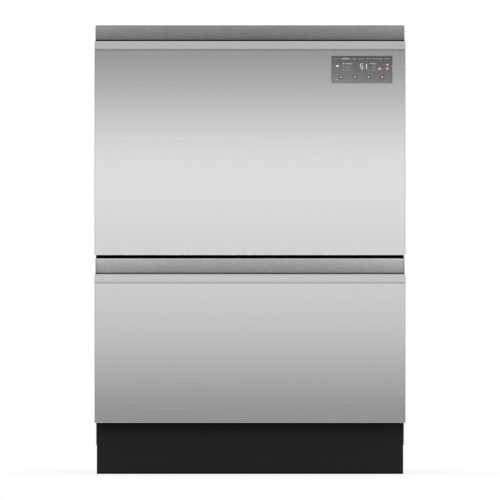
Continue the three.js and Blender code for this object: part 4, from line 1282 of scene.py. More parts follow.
class MakeCabinet(Make):
    """The zinc-coated sheets of the cabinet, its moulded base, toe board and screws."""

    bl_idname = "dishwasher.cabinet"
    bl_label = "Cabinet"

    def make(self, scene):
        side = self.side_panel()
        self.add("right_side", side, Vector((1, 0, 0)))
        self.add("left_side", side.mirrored(), Vector((-1, 0, 0)))
        self.add("back", self.back_panel(), Vector((0, 1, 0)))
        self.add("top", self.top_panel(), Vector((0, 0, 1)))
        piece("cabinet_screws", self.screws(), "rail_steel", "chassis")
        piece("hose_plate", self.hose_plate(), "dark_plastic", "chassis", bevel=0.5)
        finish_node("base_tray", "dark_plastic", 0.8)
        finish_node("kick_strip", "black_paint", 0.2)
        low, high = extent("kick_strip")
        wiper = Solid().prism([(low.y + back, z) for back, z in WIPER], "x", low.x, high.x)
        piece("kick_strip_wiper", wiper, "rubber", "chassis", finish="gasket")

    def add(self, name, surface, out):
        """A sheet 1 mm thick, given by its outer surface."""
        piece(f"{name}_sheet", surface, "galvanised", "chassis", [f"{name}_panel"], sheet=1, out=out)

    def side_panel(self):
        """A side wall with three beads, turned in at its front and rear edges."""
        low, high = extent("right_side_panel")
        toe_depth, toe_top = TOE_NOTCH
        front = low.y + SIDE_BEND
        rear = high.y - SIDE_BEND
        flat = [
            (toe_depth, low.z), (rear, low.z), (rear, high.z), (front, high.z), (front, toe_top),
            (toe_depth, toe_top),
        ]
        beads = [bead((100, 500), (z - 10, z + 10), 9.9, 8, PRESSED_IN) for z in SIDE_BEADS]
        side = Solid().pressed(flat, beads).laid("right", high.x)
        edges = ((low.y, 1, toe_top), (high.y, -1, low.z))
        for (edge, way, foot), reach in zip(edges, SIDE_RETURNS):
            corners = [(high.x, edge + way * SIDE_BEND), (high.x, edge), (high.x - reach, edge)]
            path = rounded(corners, [0, SIDE_BEND - 0.01, 0])
            side.surface([[(x, y, foot), (x, y, high.z)] for x, y in path])
        return side

    def back_panel(self):
        """The rear sheet: two raised frames, a row of vents and the notches for hoses and water inlet."""
        low, high = extent("back_panel")
        corners = [(low.x, low.z)]
        for left, right in (HOSE_NOTCH, INLET_NOTCH):
            corners += [(left, low.z), (left, NOTCH_TOP), (right, NOTCH_TOP), (right, low.z)]
        corners += [(high.x, low.z), (high.x, high.z), (low.x, high.z)]
        outline = rounded(corners, [3, 1, 6, 6, 1, 1, 6, 6, 1, 3, 3, 3], 5, closed=True)
        frames = [bead((-236, 236), z, 14, 5, RAISED_FRAME) for z in ((470, 820), (140, 430))]
        vents = [rectangle((x - 9, x + 9), (448, 454), 2.9) for x in evenly(6, -75, 75)]
        return Solid().pressed(outline, frames, vents).laid("back", 0, high.y - FRAME_RISE)

    def top_panel(self):
        """The top sheet, turned down at its front and sides, with three sunk beads and two fixing slots."""
        low, high = extent("top_panel")
        right = high.x - TOP_BEND
        front = low.y + TOP_BEND
        beads = [bead((-210, 210), (y - 9, y + 9), 8.9, 8, SUNK_BEAD) for y in evenly(3, 190, 440)]
        slots = [rectangle((x - 15, x + 15), (52, 60), 3.9, 6) for x in (-211, 211)]
        flat = Solid().pressed(rectangle((-right, right), (front, high.y)), beads, slots)
        top = flat.laid("up", 0, 0, high.z)
        flange = rounded([(front, high.z), (low.y, high.z), (low.y, low.z)], [0, TOP_BEND - 0.01, 0])
        top.surface([[(-right, y, z), (right, y, z)] for y, z in flange])
        flange = rounded([(right, high.z), (high.x, high.z), (high.x, low.z)], [0, TOP_BEND - 0.01, 0])
        for way in (1, -1):
            top.surface([[(way * x, front, z), (way * x, high.y, z)] for x, z in flange])
        return top

    def screws(self):
        """Pan-head screws along the rear edges and down the sides, where the rails are held."""
        back = extent("back_panel")[1].y - FRAME_RISE
        screws = Solid()
        for z in evenly(6, 100, 820):
            screws.join(SCREW.laid("back", 289, back, z).both_sides())
        for x in evenly(5, -240, 240):
            screws.join(SCREW.laid("back", x, back, 850))
        for z in (330, 712):
            for y in (80, 320, 520):
                screws.join(SCREW.laid("right", 297, y, z).both_sides())
        return screws

    def hose_plate(self):
        """The moulded plate that closes the hose notch, with a tail outside for each drain hose."""
        plate = Solid().prism(rectangle((-278, -202), (96, 135), 5), "y", *HOSE_PLATE)
        for x, z in HOSE_TAILS:
            plate.join(Solid().lathe(TAIL).laid("back", x, HOSE_PLATE[0] - 0.4, z))
        return plate


# ---------------------------------------------------------------- feet, valve and hoses


# A foot's pad and neck as (radius, height), and the outline of one of the ribs that fingers turn it by.
FOOT_PAD = [(19.4, 0), (20.6, 0.4), (21, 1.2), (21, 2.8), (20.4, 3.8), (17, 6.6), (15.8, 7), (9, 7.6)]
FOOT_RIB = [(17, 3.4), (20, 3.4), (17, 6.9), (15.4, 6.9)]
# The inlet valve's middle across, its sides and its front and rear.
VALVE_X = 226
VALVE_SIDES = (206, 246)
VALVE_DEPTHS = (516, 552)
COIL_Y = 528
# Drain hoses, in a drawer's own heights: depth where the still part begins, and the far ends.
HOSE_ENDS = {
    "upper": [
        (-200, 515, -287), (-246, 540, -289), (-258, 560, -300), (-258, 561, -340), (-258, 561, -480),
        (-258, 561, -600), (-258, 561, -672),
    ],
    "lower": [(-190, 515, -287), (-222, 540, -290), (-224, 568, -291)],
}
# Radii along the hose's wall, ring after ring, and at its smooth ends.
HOSE_RINGS = [8.2, 8.1, 6.9, 7]
HOSE_CUFF = 8.3
HOSE_CLIP = [(10.6, -3), (11.4, -3), (11.4, 3), (10.6, 3), (8, 2), (8, -2), (10.6, -3)]
CLIP_Y = HOSE_START + 4


class MakeFeet(Make):
    """Four threaded levelling feet."""

    bl_idname = "dishwasher.feet"
    bl_label = "Levelling feet"

    def make(self, scene):
        for end in ("front", "rear"):
            for side in SIDES:
                name = f"foot_{end}_{side}"
                low, high = extent(name)
                foot = self.foot(high.z).shifted((low.x + high.x) / 2, (low.y + high.y) / 2)
                piece(f"{name}_screw", foot, "foot_plastic", name, [name], bevel=0.4, angle=50)

    def foot(self, top):
        foot = Solid().lathe(FOOT_PAD)
        for degrees in range(0, 360, 30):
            foot.join(Solid().prism(FOOT_RIB, "x", -1, 1).turned(degrees))
        foot.prism(circle(11, steps=6), "z", 6.8, 10.4)
        return foot.thread(6, 0.9, 3, 10, top - 1)


class MakePlumbing(Make):
    """The cold water valve and the ribbed drain hoses."""

    bl_idname = "dishwasher.plumbing"
    bl_label = "Valve and hoses"

    def make(self, scene):
        low, high = extent("water_inlet_valve")
        valve = self.valve(low.z, high.y)
        piece("inlet_valve_body", valve, "tub_plastic", "chassis", ["water_inlet_valve"], bevel=0.6)
        piece("inlet_valve_coil", self.coil(high.z), "dark_plastic", "chassis", bevel=0.4)
        for drawer in DRAWERS:
            name = f"{drawer}_ribbed_hose"
            hose = self.hose(drawer)
            made = piece(name, hose, "hose_rubber", None, [f"{drawer}_drain_hose"], RIMS[drawer], angle=60)
            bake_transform(made)
            clip = Solid().lathe(HOSE_CLIP).laid("back", PUMP_X, CLIP_Y, PUMP_HEIGHT)
            clip.join(SCREW.laid("right", PUMP_X + 11, CLIP_Y, PUMP_HEIGHT))
            drawer_piece(drawer, "hose_clip", clip, "rail_steel")

    def valve(self, low, back):
        """The moulded valve body with its threaded tail through the back."""
        body = Solid().prism(rectangle(VALVE_SIDES, VALVE_DEPTHS, 5), "z", low, 100)
        for x in VALVE_SIDES:
            body.box((x - 2, x + 2), (524, 544), (low, 78))
        tail_start = VALVE_DEPTHS[1] - 1
        tail = Solid().thread(13, 1.2, 2.6, 7, back - tail_start)
        tail.lathe([(16, 0), (16, 6), (13, 7)], steps=6).lathe([(12, -2), (12, 8)])
        body.join(tail.laid("back", VALVE_X, tail_start, 92))
        return body.join(Solid().thread(8, 0.7, 2.4, 0, 14).laid("front", VALVE_X, VALVE_DEPTHS[0] + 2, 86))

    def coil(self, top):
        coil = Solid()
        for z in evenly(7, 99, 116):
            coil.lathe([(12.6, z), (14, z + 0.4), (14, z + 2), (12.6, z + 2.6)], VALVE_X, COIL_Y)
        coil.lathe([(12.8, 98), (12.8, 119), (10, top), (5, top)], VALVE_X, COIL_Y)
        coil.box((VALVE_X - 12, VALVE_X + 12), (538, 545), (104, 117))
        for x in (VALVE_X - 6, VALVE_X + 6):
            coil.box((x - 3, x + 3), (540, 543), (112, top))
        return coil

    def hose(self, drawer):
        """A hose in three passes below the tub, its wall in rings."""
        z = PUMP_HEIGHT
        y = HOSE_START
        route = [
            (PUMP_X, y, z), (PUMP_X, y + 12, z), (-40, y + 30, z + 2), (60, y + 34, z + 4),
            (170, y + 40, z + 4), (196, y + 64, z + 4), (170, y + 86, z + 4), (40, y + 88, z + 4),
            (-110, y + 90, z + 4), *HOSE_ENDS[drawer],
        ]
        path = flowing(route, 1.25)
        ringed = range(13, len(path) - 12)
        radii = [HOSE_RINGS[i % 4] if i in ringed else HOSE_CUFF for i in range(len(path))]
        return Solid().tube(path, radii, 14)


# ---------------------------------------------------------------- tubs and motors


# The tub's skin in its drawer's own heights and in the order it is lofted: (radius, height) of the post and
# sump, (inset, height) up the chamber's wall, half width, half depth, corner and height round the rim, and
# (radius, height) under the sump.
POST_AND_SUMP = [
    (4.2, -231.7), (5, -232.4), (5, -252), (11, -252), (16, -273), (18, -275), (124, -275), (126.5, -273),
    (132, -255.1), (140, -255.1), (140, -253.2), (141.5, -252.2),
]
CHAMBER_WALL = [
    (27, -252), (24, -251.6), (19.5, -249.6), (15, -246), (12, -241.4), (9.9, -237), (9, -232), (0.6, -3),
    (0, -1.6),
]
TUB_RIM = [
    (262.6, 230.6, 34.6, -0.5), (264, 232, 36, 0), (266.5, 234.5, 36, 0), (267, 235, 36, -0.8),
    (269, 237, 34, -0.8), (269.5, 237.5, 34, 0), (279.6, 240.6, 12, 0), (281, 242, 12, -1.2),
    (281, 242, 12, -12), (278.5, 239.5, 10, -12), (278.5, 239.5, 10, -3), (265.5, 233.5, 37.5, -3),
]
SUMP_OUTSIDE = [(146, -255.5), (143.5, -257), (143.5, -262), (132, -278.5)]
TUB_WALL = 3.5
# The rail's seat beside the tub: its sides across, its ends in depth, and its bottom and top.
SEAT_X = (255, 283)
SEAT_Y = (84, 528)
SEAT_Z = (-84, -36)
BREATHER = [(9, 0), (9, 2.6), (10.4, 3), (12, 2.4), (12.4, 0), (9, 0)]
# Directions of the motor's three ears, in degrees, and an ear's outline.
EARS = (-30, 90, 210)
EAR = [(70, -11), (84, -9), (90, -6), (92, 0), (90, 6), (84, 9), (70, 11)]
DRAIN_PUMP = [
    (11, 0), (14, 2), (14, 26), (12.6, 27), (12.6, 31), (14, 32), (14, 70), (12, 72), (9, 73), (9, 92),
]


class MakeTubs(Make):
    """The moulded wash tubs, their rail seats and ribs, and the motors and pumps below."""

    bl_idname = "dishwasher.tubs"
    bl_label = "Tubs and motors"

    def make(self, scene):
        for drawer in DRAWERS:
            shell = self.shell().join(self.outside().both_sides())
            drawer_piece(drawer, "wash_tub", shell, "tub_plastic", "tub", angle=40)
            drawer_piece(drawer, "motor", self.motor(), "motor_housing", "wash_motor", bevel=0.5)
            screws = Solid()
            for degrees in EARS:
                screw = SCREW.laid("down", 86, TUB_MIDDLE, SUMP_UNDERSIDE - 5.4)
                screws.join(screw.turned(degrees, 0, TUB_MIDDLE))
            drawer_piece(drawer, "motor_screws", screws, "rail_steel")
            finish_node(f"{drawer}_front_casing", "grey_plastic", 0.8)

    def shell(self):
        """One skin from the spray arm's post, over sump, floor, walls and rim, and back under the outside."""
        rings = [round_ring(radius, z) for radius, z in POST_AND_SUMP]
        rings += [self.wall_ring(inset, MOUTH_BEND, z) for inset, z in CHAMBER_WALL]
        rings += [ring(x, y, bend, TUB_MIDDLE, z) for x, y, bend, z in TUB_RIM]
        for inset, z in reversed(CHAMBER_WALL):
            if z < -3:
                low = 0 if z > TUB_FLOOR else TUB_WALL
                rings.append(self.wall_ring(inset - TUB_WALL, MOUTH_BEND + TUB_WALL, z - low))
        rings += [round_ring(radius, z) for radius, z in SUMP_OUTSIDE]
        return Solid().loft(rings)

    def wall_ring(self, inset, bend, z):
        return ring(MOUTH_X - inset, MOUTH_Y - inset, bend, TUB_MIDDLE, z)

    def outside(self):
        """On the right: the rail's seat, a ledge for the basket, ribs and a breather inside the wall."""
        left, right = SEAT_X
        low, high = SEAT_Z
        made = Solid().box((right - 3.5, right), SEAT_Y, SEAT_Z).box(SEAT_X, SEAT_Y, (high - 3, high))
        made.box((left, left + 12), SEAT_Y, SEAT_Z)
        for y in evenly(9, 86, 526):
            made.box(SEAT_X, (y - 1.5, y + 1.5), SEAT_Z)
        for y in evenly(5, 120, 492):
            rib = [(236, -240), (262, low), (left, low), (230, -240)]
            made.prism(rib, "y", y - 1.5, y + 1.5)
        for y in (145, 467):
            made.prism(rectangle((232, 256), (y - 14, y + 14), 3), "z", -223, -216.3)
        grille = Solid()
        for level in evenly(5, -6, 6):
            grille.box((-3, 1.5), (-9, 9), (level - 0.7, level + 0.7))
        grille.join(Solid().lathe(BREATHER).laid("right", -1).mirrored().shifted(-1))
        return made.join(grille.shifted(259.5, 330, -60))

    def motor(self):
        """The wash motor's finned housing on three ears, with the drain pump beside it."""
        top = SUMP_UNDERSIDE - 0.3
        low = DRAWER_LOW
        profile = [(20, low + 1), (24, low), (59, low), (62.5, low + 1), (66, low + 5)]
        for z in evenly(4, low + 7, top - 14):
            profile += [(66, z), (66, z + 1.6), (63.4, z + 2), (63.4, z + 3)]
        profile += [(66, top - 9), (76, top - 9), (78, top - 7.5), (78, top), (10, top)]
        motor = Solid().lathe(profile)
        for degrees in EARS:
            motor.join(Solid().prism(EAR, "z", top - 5, top).turned(degrees))
        for degrees in range(0, 360, 45):
            rib = Solid().prism(rectangle((26, 58), (low - 0.2, low + 3)), "y", -1, 1)
            motor.join(rib.turned(degrees))
        pump = Solid().lathe(DRAIN_PUMP)
        for degrees in range(0, 360, 30):
            pump.join(Solid().box((13, 14.8), (-0.8, 0.8), (34, 66)).turned(degrees))
        return motor.join(pump.laid("back", PUMP_X, 20, PUMP_HEIGHT)).shifted(0, TUB_MIDDLE)


def round_ring(radius, z):
    """A level circle about the tub's middle, with as many points as a rounded rectangle."""
    return ring(radius, radius, radius, TUB_MIDDLE, z)


# ---------------------------------------------------------------- filter, spray arm and dispenser


# All of these are in a drawer's own heights.
FILTER_TOP = TUB_FLOOR - 0.2
# The filter plate's rims as (inner, outer) radii, and the rows of bars between them with their counts.
FILTER_RIMS = ((15, 30), (64, 68), (101, 105), (131, 139.7))
FILTER_BARS = ((29, 65, 36), (67, 102, 72), (104, 132, 108))
# The drain filter's cup: its place across, and its profile as (radius, height) above the filter plate.
CUP_X = -92
CUP = [(22, -18), (26, -1), (28, -0.5), (28, 1.4), (26.6, 2), (5, 2)]
# Spray arm: height of its blades' underside, then above it how their edge is rounded, as (outwards, height),
# and the hub and its cap, as (radius, height).
ARM_BASE = -237.5
BLADE_EDGE = [(-3, 0), (0, 0.6), (1.6, 2), (2, 4), (2, 7), (1.2, 9.4), (-0.6, 11.2), (-4, 12)]
ARM_HUB = [
    (6, -12), (19, -12), (21, -11), (28, -4), (28, 12.5), (26.5, 14), (18, 15), (15.5, 18), (12, 19), (6, 19),
    (6, -12),
]
ARM_CAP = [(5.8, 17), (5.8, 20), (4, 20.6)]
# One blade's outline: where each bow starts, what it bends towards, where it ends, and its steps.
BLADE = [
    ((0, -22), (112, -30), (190, -2), 16),
    ((190, -2), (210, 10), (192, 22), 8),
    ((192, 22), (102, 6), (0, 22), 16),
]
# Jets along one blade: place across and back, and the slant of the slot in degrees.
JETS = [(52, -12, 20), (80, -2, -15), (110, -6, 25), (140, 2, -20), (165, 9, 35), (184, 12, 80)]
# Dispenser: its ends across, bottom and top, face, and the ears of its door's hinge.
DISPENSER_X = (-80, 76)
DISPENSER_Z = (-86, -14)
DISPENSER_FACE = 98
WELL_DEPTH = 84
HINGE_EAR = [(-75, 95), (-66, 95), (-66, 104), (-68, 107), (-72, 107), (-75, 104)]
# Its door: the hinge's place across and back, and the leaf's bottom and top.
DOOR_HINGE = (-70, 102)
DOOR_Z = (-80.5, -19.5)


class MakeWashGear(Make):
    """Perforated filters, spray arms and detergent dispensers."""

    bl_idname = "dishwasher.wash_gear"
    bl_label = "Filters, spray arms and dispensers"

    def make(self, scene):
        for drawer in DRAWERS:
            rim = RIMS[drawer]
            drawer_piece(drawer, "filter", self.filter(), "grey_plastic", "filter_plate")
            drawer_piece(drawer, "drain_cup", self.cup(), "grey_plastic", finish="dark_plastic", bevel=0.4)
            arm = f"{drawer}_spray_arm"
            piece(f"{arm}_blades", self.arm(), "grey_plastic", arm, [arm], rim, angle=50)
            piece(f"{arm}_jets", self.jets(), "grey_plastic", arm, rim=rim, finish="dark_plastic")
            drawer_piece(drawer, "dispenser_body", self.dispenser(), "tub_plastic", "dispenser", bevel=0.7)
            cap = self.rinse_cap()
            drawer_piece(drawer, "rinse_cap", cap, "tub_plastic", finish="grey_plastic", bevel=0.5)
            door = f"{drawer}_dispenser_door"
            piece(f"{door}_leaf", self.door(), "grey_plastic", door, [door], rim, bevel=0.5)

    def filter(self):
        """A round plate of fine radial slots between four rims."""
        plate = Solid()
        low = FILTER_TOP - 2.6
        for inner, outer in FILTER_RIMS:
            section = [(inner, low), (outer, low), (outer, FILTER_TOP), (inner, FILTER_TOP), (inner, low)]
            plate.lathe(section, steps=72)
        for inner, outer, count in FILTER_BARS:
            half = math.pi * inner / count * 0.45
            bar = Solid().box((inner, outer), (-half, half), (FILTER_TOP - 1.8, FILTER_TOP - 0.4))
            for i in range(count):
                plate.join(bar.turned(360 * i / count))
        return plate.shifted(0, TUB_MIDDLE)

    def cup(self):
        """The lift-out drain filter: a cup under a round cap with a finger grip and two arrows."""
        cup = Solid().lathe(CUP)
        cup.prism(rounded([(-20, 1), (-18, 10), (18, 10), (20, 1)], [0, 6, 6, 0]), "y", -2.5, 2.5)
        for degrees in (60, 240):
            cup.join(Solid().prism([(13, -3), (19, 0), (13, 3)], "z", 1.5, 2.6).turned(degrees))
        return cup.shifted(CUP_X, TUB_MIDDLE, FILTER_TOP)

    def arm(self):
        """Two blades with rounded edges on a hub, and the cap that screws it down."""
        outline = []
        for way in (1, -1):
            for *bow, steps in BLADE:
                outline += bowed(*[(way * a, way * b) for a, b in bow], steps)
        arm = Solid().loft([[(a, b, level) for a, b in grown(outline, out)] for out, level in BLADE_EDGE])
        arm.lathe(ARM_HUB).lathe(ARM_CAP, steps=24)
        for degrees in range(0, 360, 30):
            arm.join(Solid().box((14, 17.4), (-1, 1), (14, 17.4)).turned(degrees))
        return arm.shifted(0, TUB_MIDDLE, ARM_BASE)

    def jets(self):
        """Oblong nozzles along the blades, each a small slotted rim."""
        slot = rectangle((-4.4, 4.4), (-1.1, 1.1), 1)
        jet = Solid().prism(rectangle((-6, 6), (-3, 3), 2.9), "z", 11.3, 13.4, [slot])
        jet.prism(slot, "z", 11.3, 12)
        jets = Solid()
        for way in (0, 180):
            for x, y, slant in JETS:
                jets.join(jet.turned(slant).shifted(x, y).turned(way))
        return jets.shifted(0, TUB_MIDDLE, ARM_BASE)

    def dispenser(self):
        """The moulding on the tub's front wall: the detergent well and the ears of its door's hinge."""
        low, high = DISPENSER_Z
        plate = rectangle(DISPENSER_X, DISPENSER_Z, 8, 6)
        well = rectangle((-60, -4), (low + 10, high - 10), 9, 6)
        body = Solid().prism(plate, "y", WELL_DEPTH, DISPENSER_FACE, [well])
        body.prism(plate, "y", WELL_DEPTH - 9, WELL_DEPTH + 0.2)
        hollow = rectangle((-54, -10), (low + 16, high - 16), 5, 6)
        frame_outline = rectangle((-57, -7), (low + 13, high - 13), 7, 6)
        body.prism(frame_outline, "y", WELL_DEPTH, WELL_DEPTH + 1, [hollow])
        for z in evenly(3, -62, -38):
            body.box((-16, -8), (WELL_DEPTH, WELL_DEPTH + 6), (z - 0.6, z + 0.6))
        for z in (low, high - 4):
            body.prism(HINGE_EAR, "z", z, z + 4)
        return body.box((-3.5, 0), (DISPENSER_FACE - 1, DISPENSER_FACE + 1.2), (-58, -42))

    def rinse_cap(self):
        """The rinse aid's screw cap, its grip, its arrow and a round sight glass."""
        cap = Solid().lathe([(17.6, -1), (17.6, 2), (17, 3), (16, 3), (15, 5), (14, 6), (2, 6)])
        for degrees in range(0, 360, 15):
            cap.join(Solid().box((16.4, 17.9), (-0.8, 0.8), (-1, 2.6)).turned(degrees))
        cap.prism(rectangle((-14, 14), (-2.4, 2.4), 2.3), "z", 5, 10)
        cap.prism([(-2, 15), (2, 15), (0, 19)], "z", 0, 1)
        cap.lathe([(4, -1), (4, 1.2), (3, 1.8), (1, 1.9)], 26, 22, 24)
        return cap.laid("back", 40, DISPENSER_FACE, -50)

    def door(self):
        """The detergent door: a leaf with a raised rim and a ribbed pull, on a knuckled hinge."""
        x, y = DOOR_HINGE
        low, high = DOOR_Z
        door = Solid().prism(rectangle((x + 2, x + 72), DOOR_Z, 6, 6), "y", y - 3, y - 0.6)
        inner = rectangle((x + 8, x + 67), (low + 5, high - 5), 4, 6)
        door.prism(rectangle((x + 6, x + 69), (low + 3, high - 3), 5, 6), "y", y - 1, y + 0.2, [inner])
        for step in evenly(5, 58, 65):
            door.box((x + step - 0.5, x + step + 0.5), (y - 1, y + 1.2), (-60, -40))
        door.box((x, x + 8), (y - 3, y - 0.8), (low + 4, high - 4))
        for z in evenly(4, low, high - 10):
            door.lathe([(3, z), (3, z + 10)], x, y, 20)
        door.lathe([(1.8, low - 5), (1.8, high + 5)], x, y, 16)
        return door.box((x + 66, x + 71), (y - 1, y + 4), (-56, -44))


# ---------------------------------------------------------------- baskets and racks


# Wire goods, in their drawer's own heights. The front-to-back wires lie a step above those across.
BASKET_FLOOR = -214
BASKET_TOP = -95
WIRE_STEP = 2.8
BASKET_WIRE = 1.5
TINE = 68
# The cup racks' hinge is (across, height), with an eye at two depths.
RACK_HINGE = Vector((236.5, -88.5))
RACK_EYES = (128, 482)
RACK_WIDTH = 84
EYE_RADIUS = 4.2
# Cutlery basket: half its width, its front and back, and its floor and top.
CUTLERY_HALF = 108
CUTLERY_Y = (107, 167)
CUTLERY_Z = (-208, -104)


class MakeRacks(Make):
    """The wire baskets, the fold-up cup racks and the cutlery baskets."""

    bl_idname = "dishwasher.racks"
    bl_label = "Baskets and racks"

    def make(self, scene):
        for drawer in DRAWERS:
            drawer_piece(drawer, "wire_basket", self.basket(), "coated_wire", "basket", angle=80)
            drawer_piece(
                drawer, "cutlery_basket_lattice", self.cutlery(), "dark_plastic", "cutlery_basket", angle=60)
            for side, way in SIDES.items():
                rack = self.rack() if way > 0 else self.rack().mirrored()
                node = f"{drawer}_{side}_cup_rack"
                piece(f"{node}_wires", rack, "coated_wire", node, [node], RIMS[drawer], angle=80)

    def basket(self):
        """Round wires both ways, a rail round the top, a belt, tines and the cup racks' eyes."""
        wires = Solid()
        floor = BASKET_FLOOR
        raised = BASKET_FLOOR + WIRE_STEP
        top = BASKET_TOP
        for y in evenly(9, 132, 480):
            across = [(-245, y, top), (-237, y, floor), (237, y, floor), (245, y, top)]
            wires.tube(rounded(across, 16), BASKET_WIRE)
        for x in evenly(9, -172, 172):
            along = [(x, 86, top), (x, 94, raised), (x, 518, raised), (x, 526, top)]
            wires.tube(rounded(along, 16), BASKET_WIRE)
        wires.tube(ring(245, 220, 28, TUB_MIDDLE, top, 6), 2, 10, looped=True)
        wires.tube(ring(243.8, 219, 26, TUB_MIDDLE, -152, 6), BASKET_WIRE, looped=True)
        for x in (-86, 0, 86):
            for y in evenly(9, 196, 476):
                heights = [raised, floor + TINE, floor + TINE + 1.6, floor + TINE + 2.3]
                wires.tube([(x, y, z) for z in heights], [1.6, 1.6, 1.2, 0.3])
        across, height = RACK_HINGE
        for y in RACK_EYES:
            eye = [(across + a, y, height + b) for a, b in circle(EYE_RADIUS, steps=16)]
            wires.join(Solid().tube(eye, 1.2, looped=True).both_sides())
            stay = Solid().rod((across + EYE_RADIUS, y, height), (244.6, y, top), 1.3, 8)
            wires.join(stay.both_sides())
        return wires

    def rack(self):
        """A shelf of wires that dip to steady the cups, on its hinge rod."""
        wires = Solid()
        outer, z = RACK_HINGE
        inner = outer - RACK_WIDTH
        edge = [(outer, 119, z), (outer, 491, z), (inner, 491, z), (inner, 119, z)]
        wires.tube(rounded(edge, 9, closed=True), 1.6, 10, looped=True)
        for y in evenly(9, 141, 469):
            if min(abs(y - eye) for eye in RACK_EYES) > 6:
                dip = [(outer, y, z), (outer - 22, y, z - 3.4), (outer - 58, y, z - 3.4), (inner, y, z)]
                wires.tube(rounded(dip, 14, 4), 1.3)
        return wires

    def cutlery(self):
        """Two lattice cells with a bridge handle."""
        half = CUTLERY_HALF
        front, back = CUTLERY_Y
        floor, top = CUTLERY_Z
        rows = evenly(3, floor + 21, top - 21)
        columns = evenly(14, -97, 97)
        basket = Solid()
        holes = [self.slot(x, z) for x in columns for z in rows]
        for y in (front, back - 2):
            basket.prism(rectangle((-half, half), CUTLERY_Z, 2), "y", y, y + 2, holes)
        holes = [self.slot(y, z) for y in evenly(4, 116, 158) for z in rows]
        for x in (-half, -1, half - 2):
            basket.prism(rectangle((front + 0.5, back - 0.5), CUTLERY_Z, 2), "x", x, x + 2, holes)
        drains = [(x, y) for x in columns for y in evenly(4, 117, 157)]
        holes = [rectangle((x - 4.6, x + 4.6), (y - 4.6, y + 4.6), 1.5, 3) for x, y in drains]
        basket.prism(rectangle((-half, half), CUTLERY_Y, 3), "z", floor, floor + 2, holes)
        inside = rectangle((2 - half, half - 2), (front + 2, back - 2), 2)
        outside = rectangle((-half - 0.8, half + 0.8), (front - 0.8, back + 0.8), 3)
        basket.prism(outside, "z", top - 3, top + 0.6, [inside])
        middle = (front + back) / 2
        ends = [(-25, middle, top - 6), (-25, middle, top + 6), (25, middle, top + 6), (25, middle, top - 6)]
        basket.tube(rounded(ends, 7), 2.8, 12)
        return basket.box((-27, 27), (middle - 1.5, middle + 1.5), (top - 9, top - 4))

    def slot(self, a, z):
        """An upright slot in the cutlery basket's wall."""
        return rectangle((a - 5.2, a + 5.2), (z - 12.5, z + 12.5), 3, 3)


# ---------------------------------------------------------------- rails


# Height of the rails' middle in a drawer's own heights, and the sheet that they are rolled from. Then web,
# lips, half height, start and end of each member, and for each set of balls its place across, its distance
# from the middle and its balls' radius.
RAIL_HEIGHT = -60
RAIL_SHEET = 1.2
RAIL_MEMBERS = {
    "cabinet": (295.6, 286.4, 22.5, 42, 560),
    "middle": (293.8, 286.2, 18, 46, 556),
    "drawer": (283.3, 291.4, 13, 48, 552),
}
BALL_CAGES = {"cabinet": (290, 19.65, 1.5), "middle": (288.6, 14.9, 1.7)}
RIVET = [(3.4, -0.2), (3.2, 0.5), (2, 0.9), (0.4, 1)]


class MakeRails(Make):
    """Rolled rail members with their ball cages."""

    bl_idname = "dishwasher.rails"
    bl_label = "Rails"

    def make(self, scene):
        for drawer in DRAWERS:
            for side, way in SIDES.items():
                bodies = {
                    "cabinet": "chassis",
                    "middle": f"{drawer}_{side}_middle_rail",
                    "drawer": f"{drawer}_drawer",
                }
                for member, body in bodies.items():
                    rail = self.member(*RAIL_MEMBERS[member])
                    rail = rail if way > 0 else rail.mirrored()
                    node = f"{drawer}_{side}_{member}_rail"
                    piece(f"{node}_channel", rail, "rail_steel", body, [node], RIMS[drawer])
                for member, sizes in BALL_CAGES.items():
                    cage = self.cage(*sizes)
                    cage = cage if way > 0 else cage.mirrored()
                    name = f"{drawer}_{side}_{member}_balls"
                    piece(name, cage, "rail_steel", bodies[member], rim=RIMS[drawer], angle=70)

    def member(self, web, lips, half, start, end):
        """A channel with its web on one side and its lips on the other, and rivets inside its web."""
        corners = [(lips, -half), (web, -half), (web, half), (lips, half)]
        sheet = math.copysign(RAIL_SHEET, web - lips)
        wall = thickened(rounded(corners, [0, 2.4, 2.4, 0], 5), sheet)
        rail = Solid().prism([(x, RAIL_HEIGHT + z) for x, z in wall], "y", start, end)
        rivet = Solid().lathe(RIVET, steps=16).laid("right")
        rivet = rivet if lips > web else rivet.mirrored()
        for y in evenly(4, start + 40, end - 40):
            rail.join(rivet.shifted(web - sheet, y, RAIL_HEIGHT))
        return rail

    def cage(self, x, gap, radius):
        """Bearing balls in a strip above and below, near the front of the member outside them."""
        cage = Solid()
        turns = [math.pi * i / 8 for i in range(1, 8)]
        arc = [(radius * math.sin(turn), -radius * math.cos(turn)) for turn in turns]
        ball = Solid().lathe(arc, steps=12)
        for way in (1, -1):
            z = RAIL_HEIGHT + way * gap
            cage.box((x - 2.4, x + 2.4), (56, 176), (z - 0.3, z + 0.3))
            for y in evenly(14, 62, 170):
                cage.join(ball.shifted(x, y, z))
        return cage


# ---------------------------------------------------------------- lids


# The lid in a drawer's own heights: half width, half depth, corner and height, from its dome to its top edge.
LID_TOP = 34
LID_EDGE = [
    (248, 208, 30, 18), (257, 217, 30, 8.6), (258.6, 218.6, 30, 7), (275, 235, 20, 7), (278, 238, 22, 9),
    (280, 240, 24, 12.5), (280, 240, 24, 30), (279, 239, 23, 33), (276.5, 236.5, 20.5, LID_TOP),
]
# How a pocket's wall is rounded, as (inset, level) steps, and where its ribs stand.
LID_POCKET = [(0, 0), (0.8, -0.25), (1.4, -1), (2.8, -11.6), (3.6, -12.7), (5, -13)]
RIB_HEIGHTS = (20.5, 28)
# A pin that the lifts hold, as (radius, distance from the middle).
LID_PIN = [(7, 272), (7, 281), (4, 281.6), (4, 290.4), (3.4, 291)]
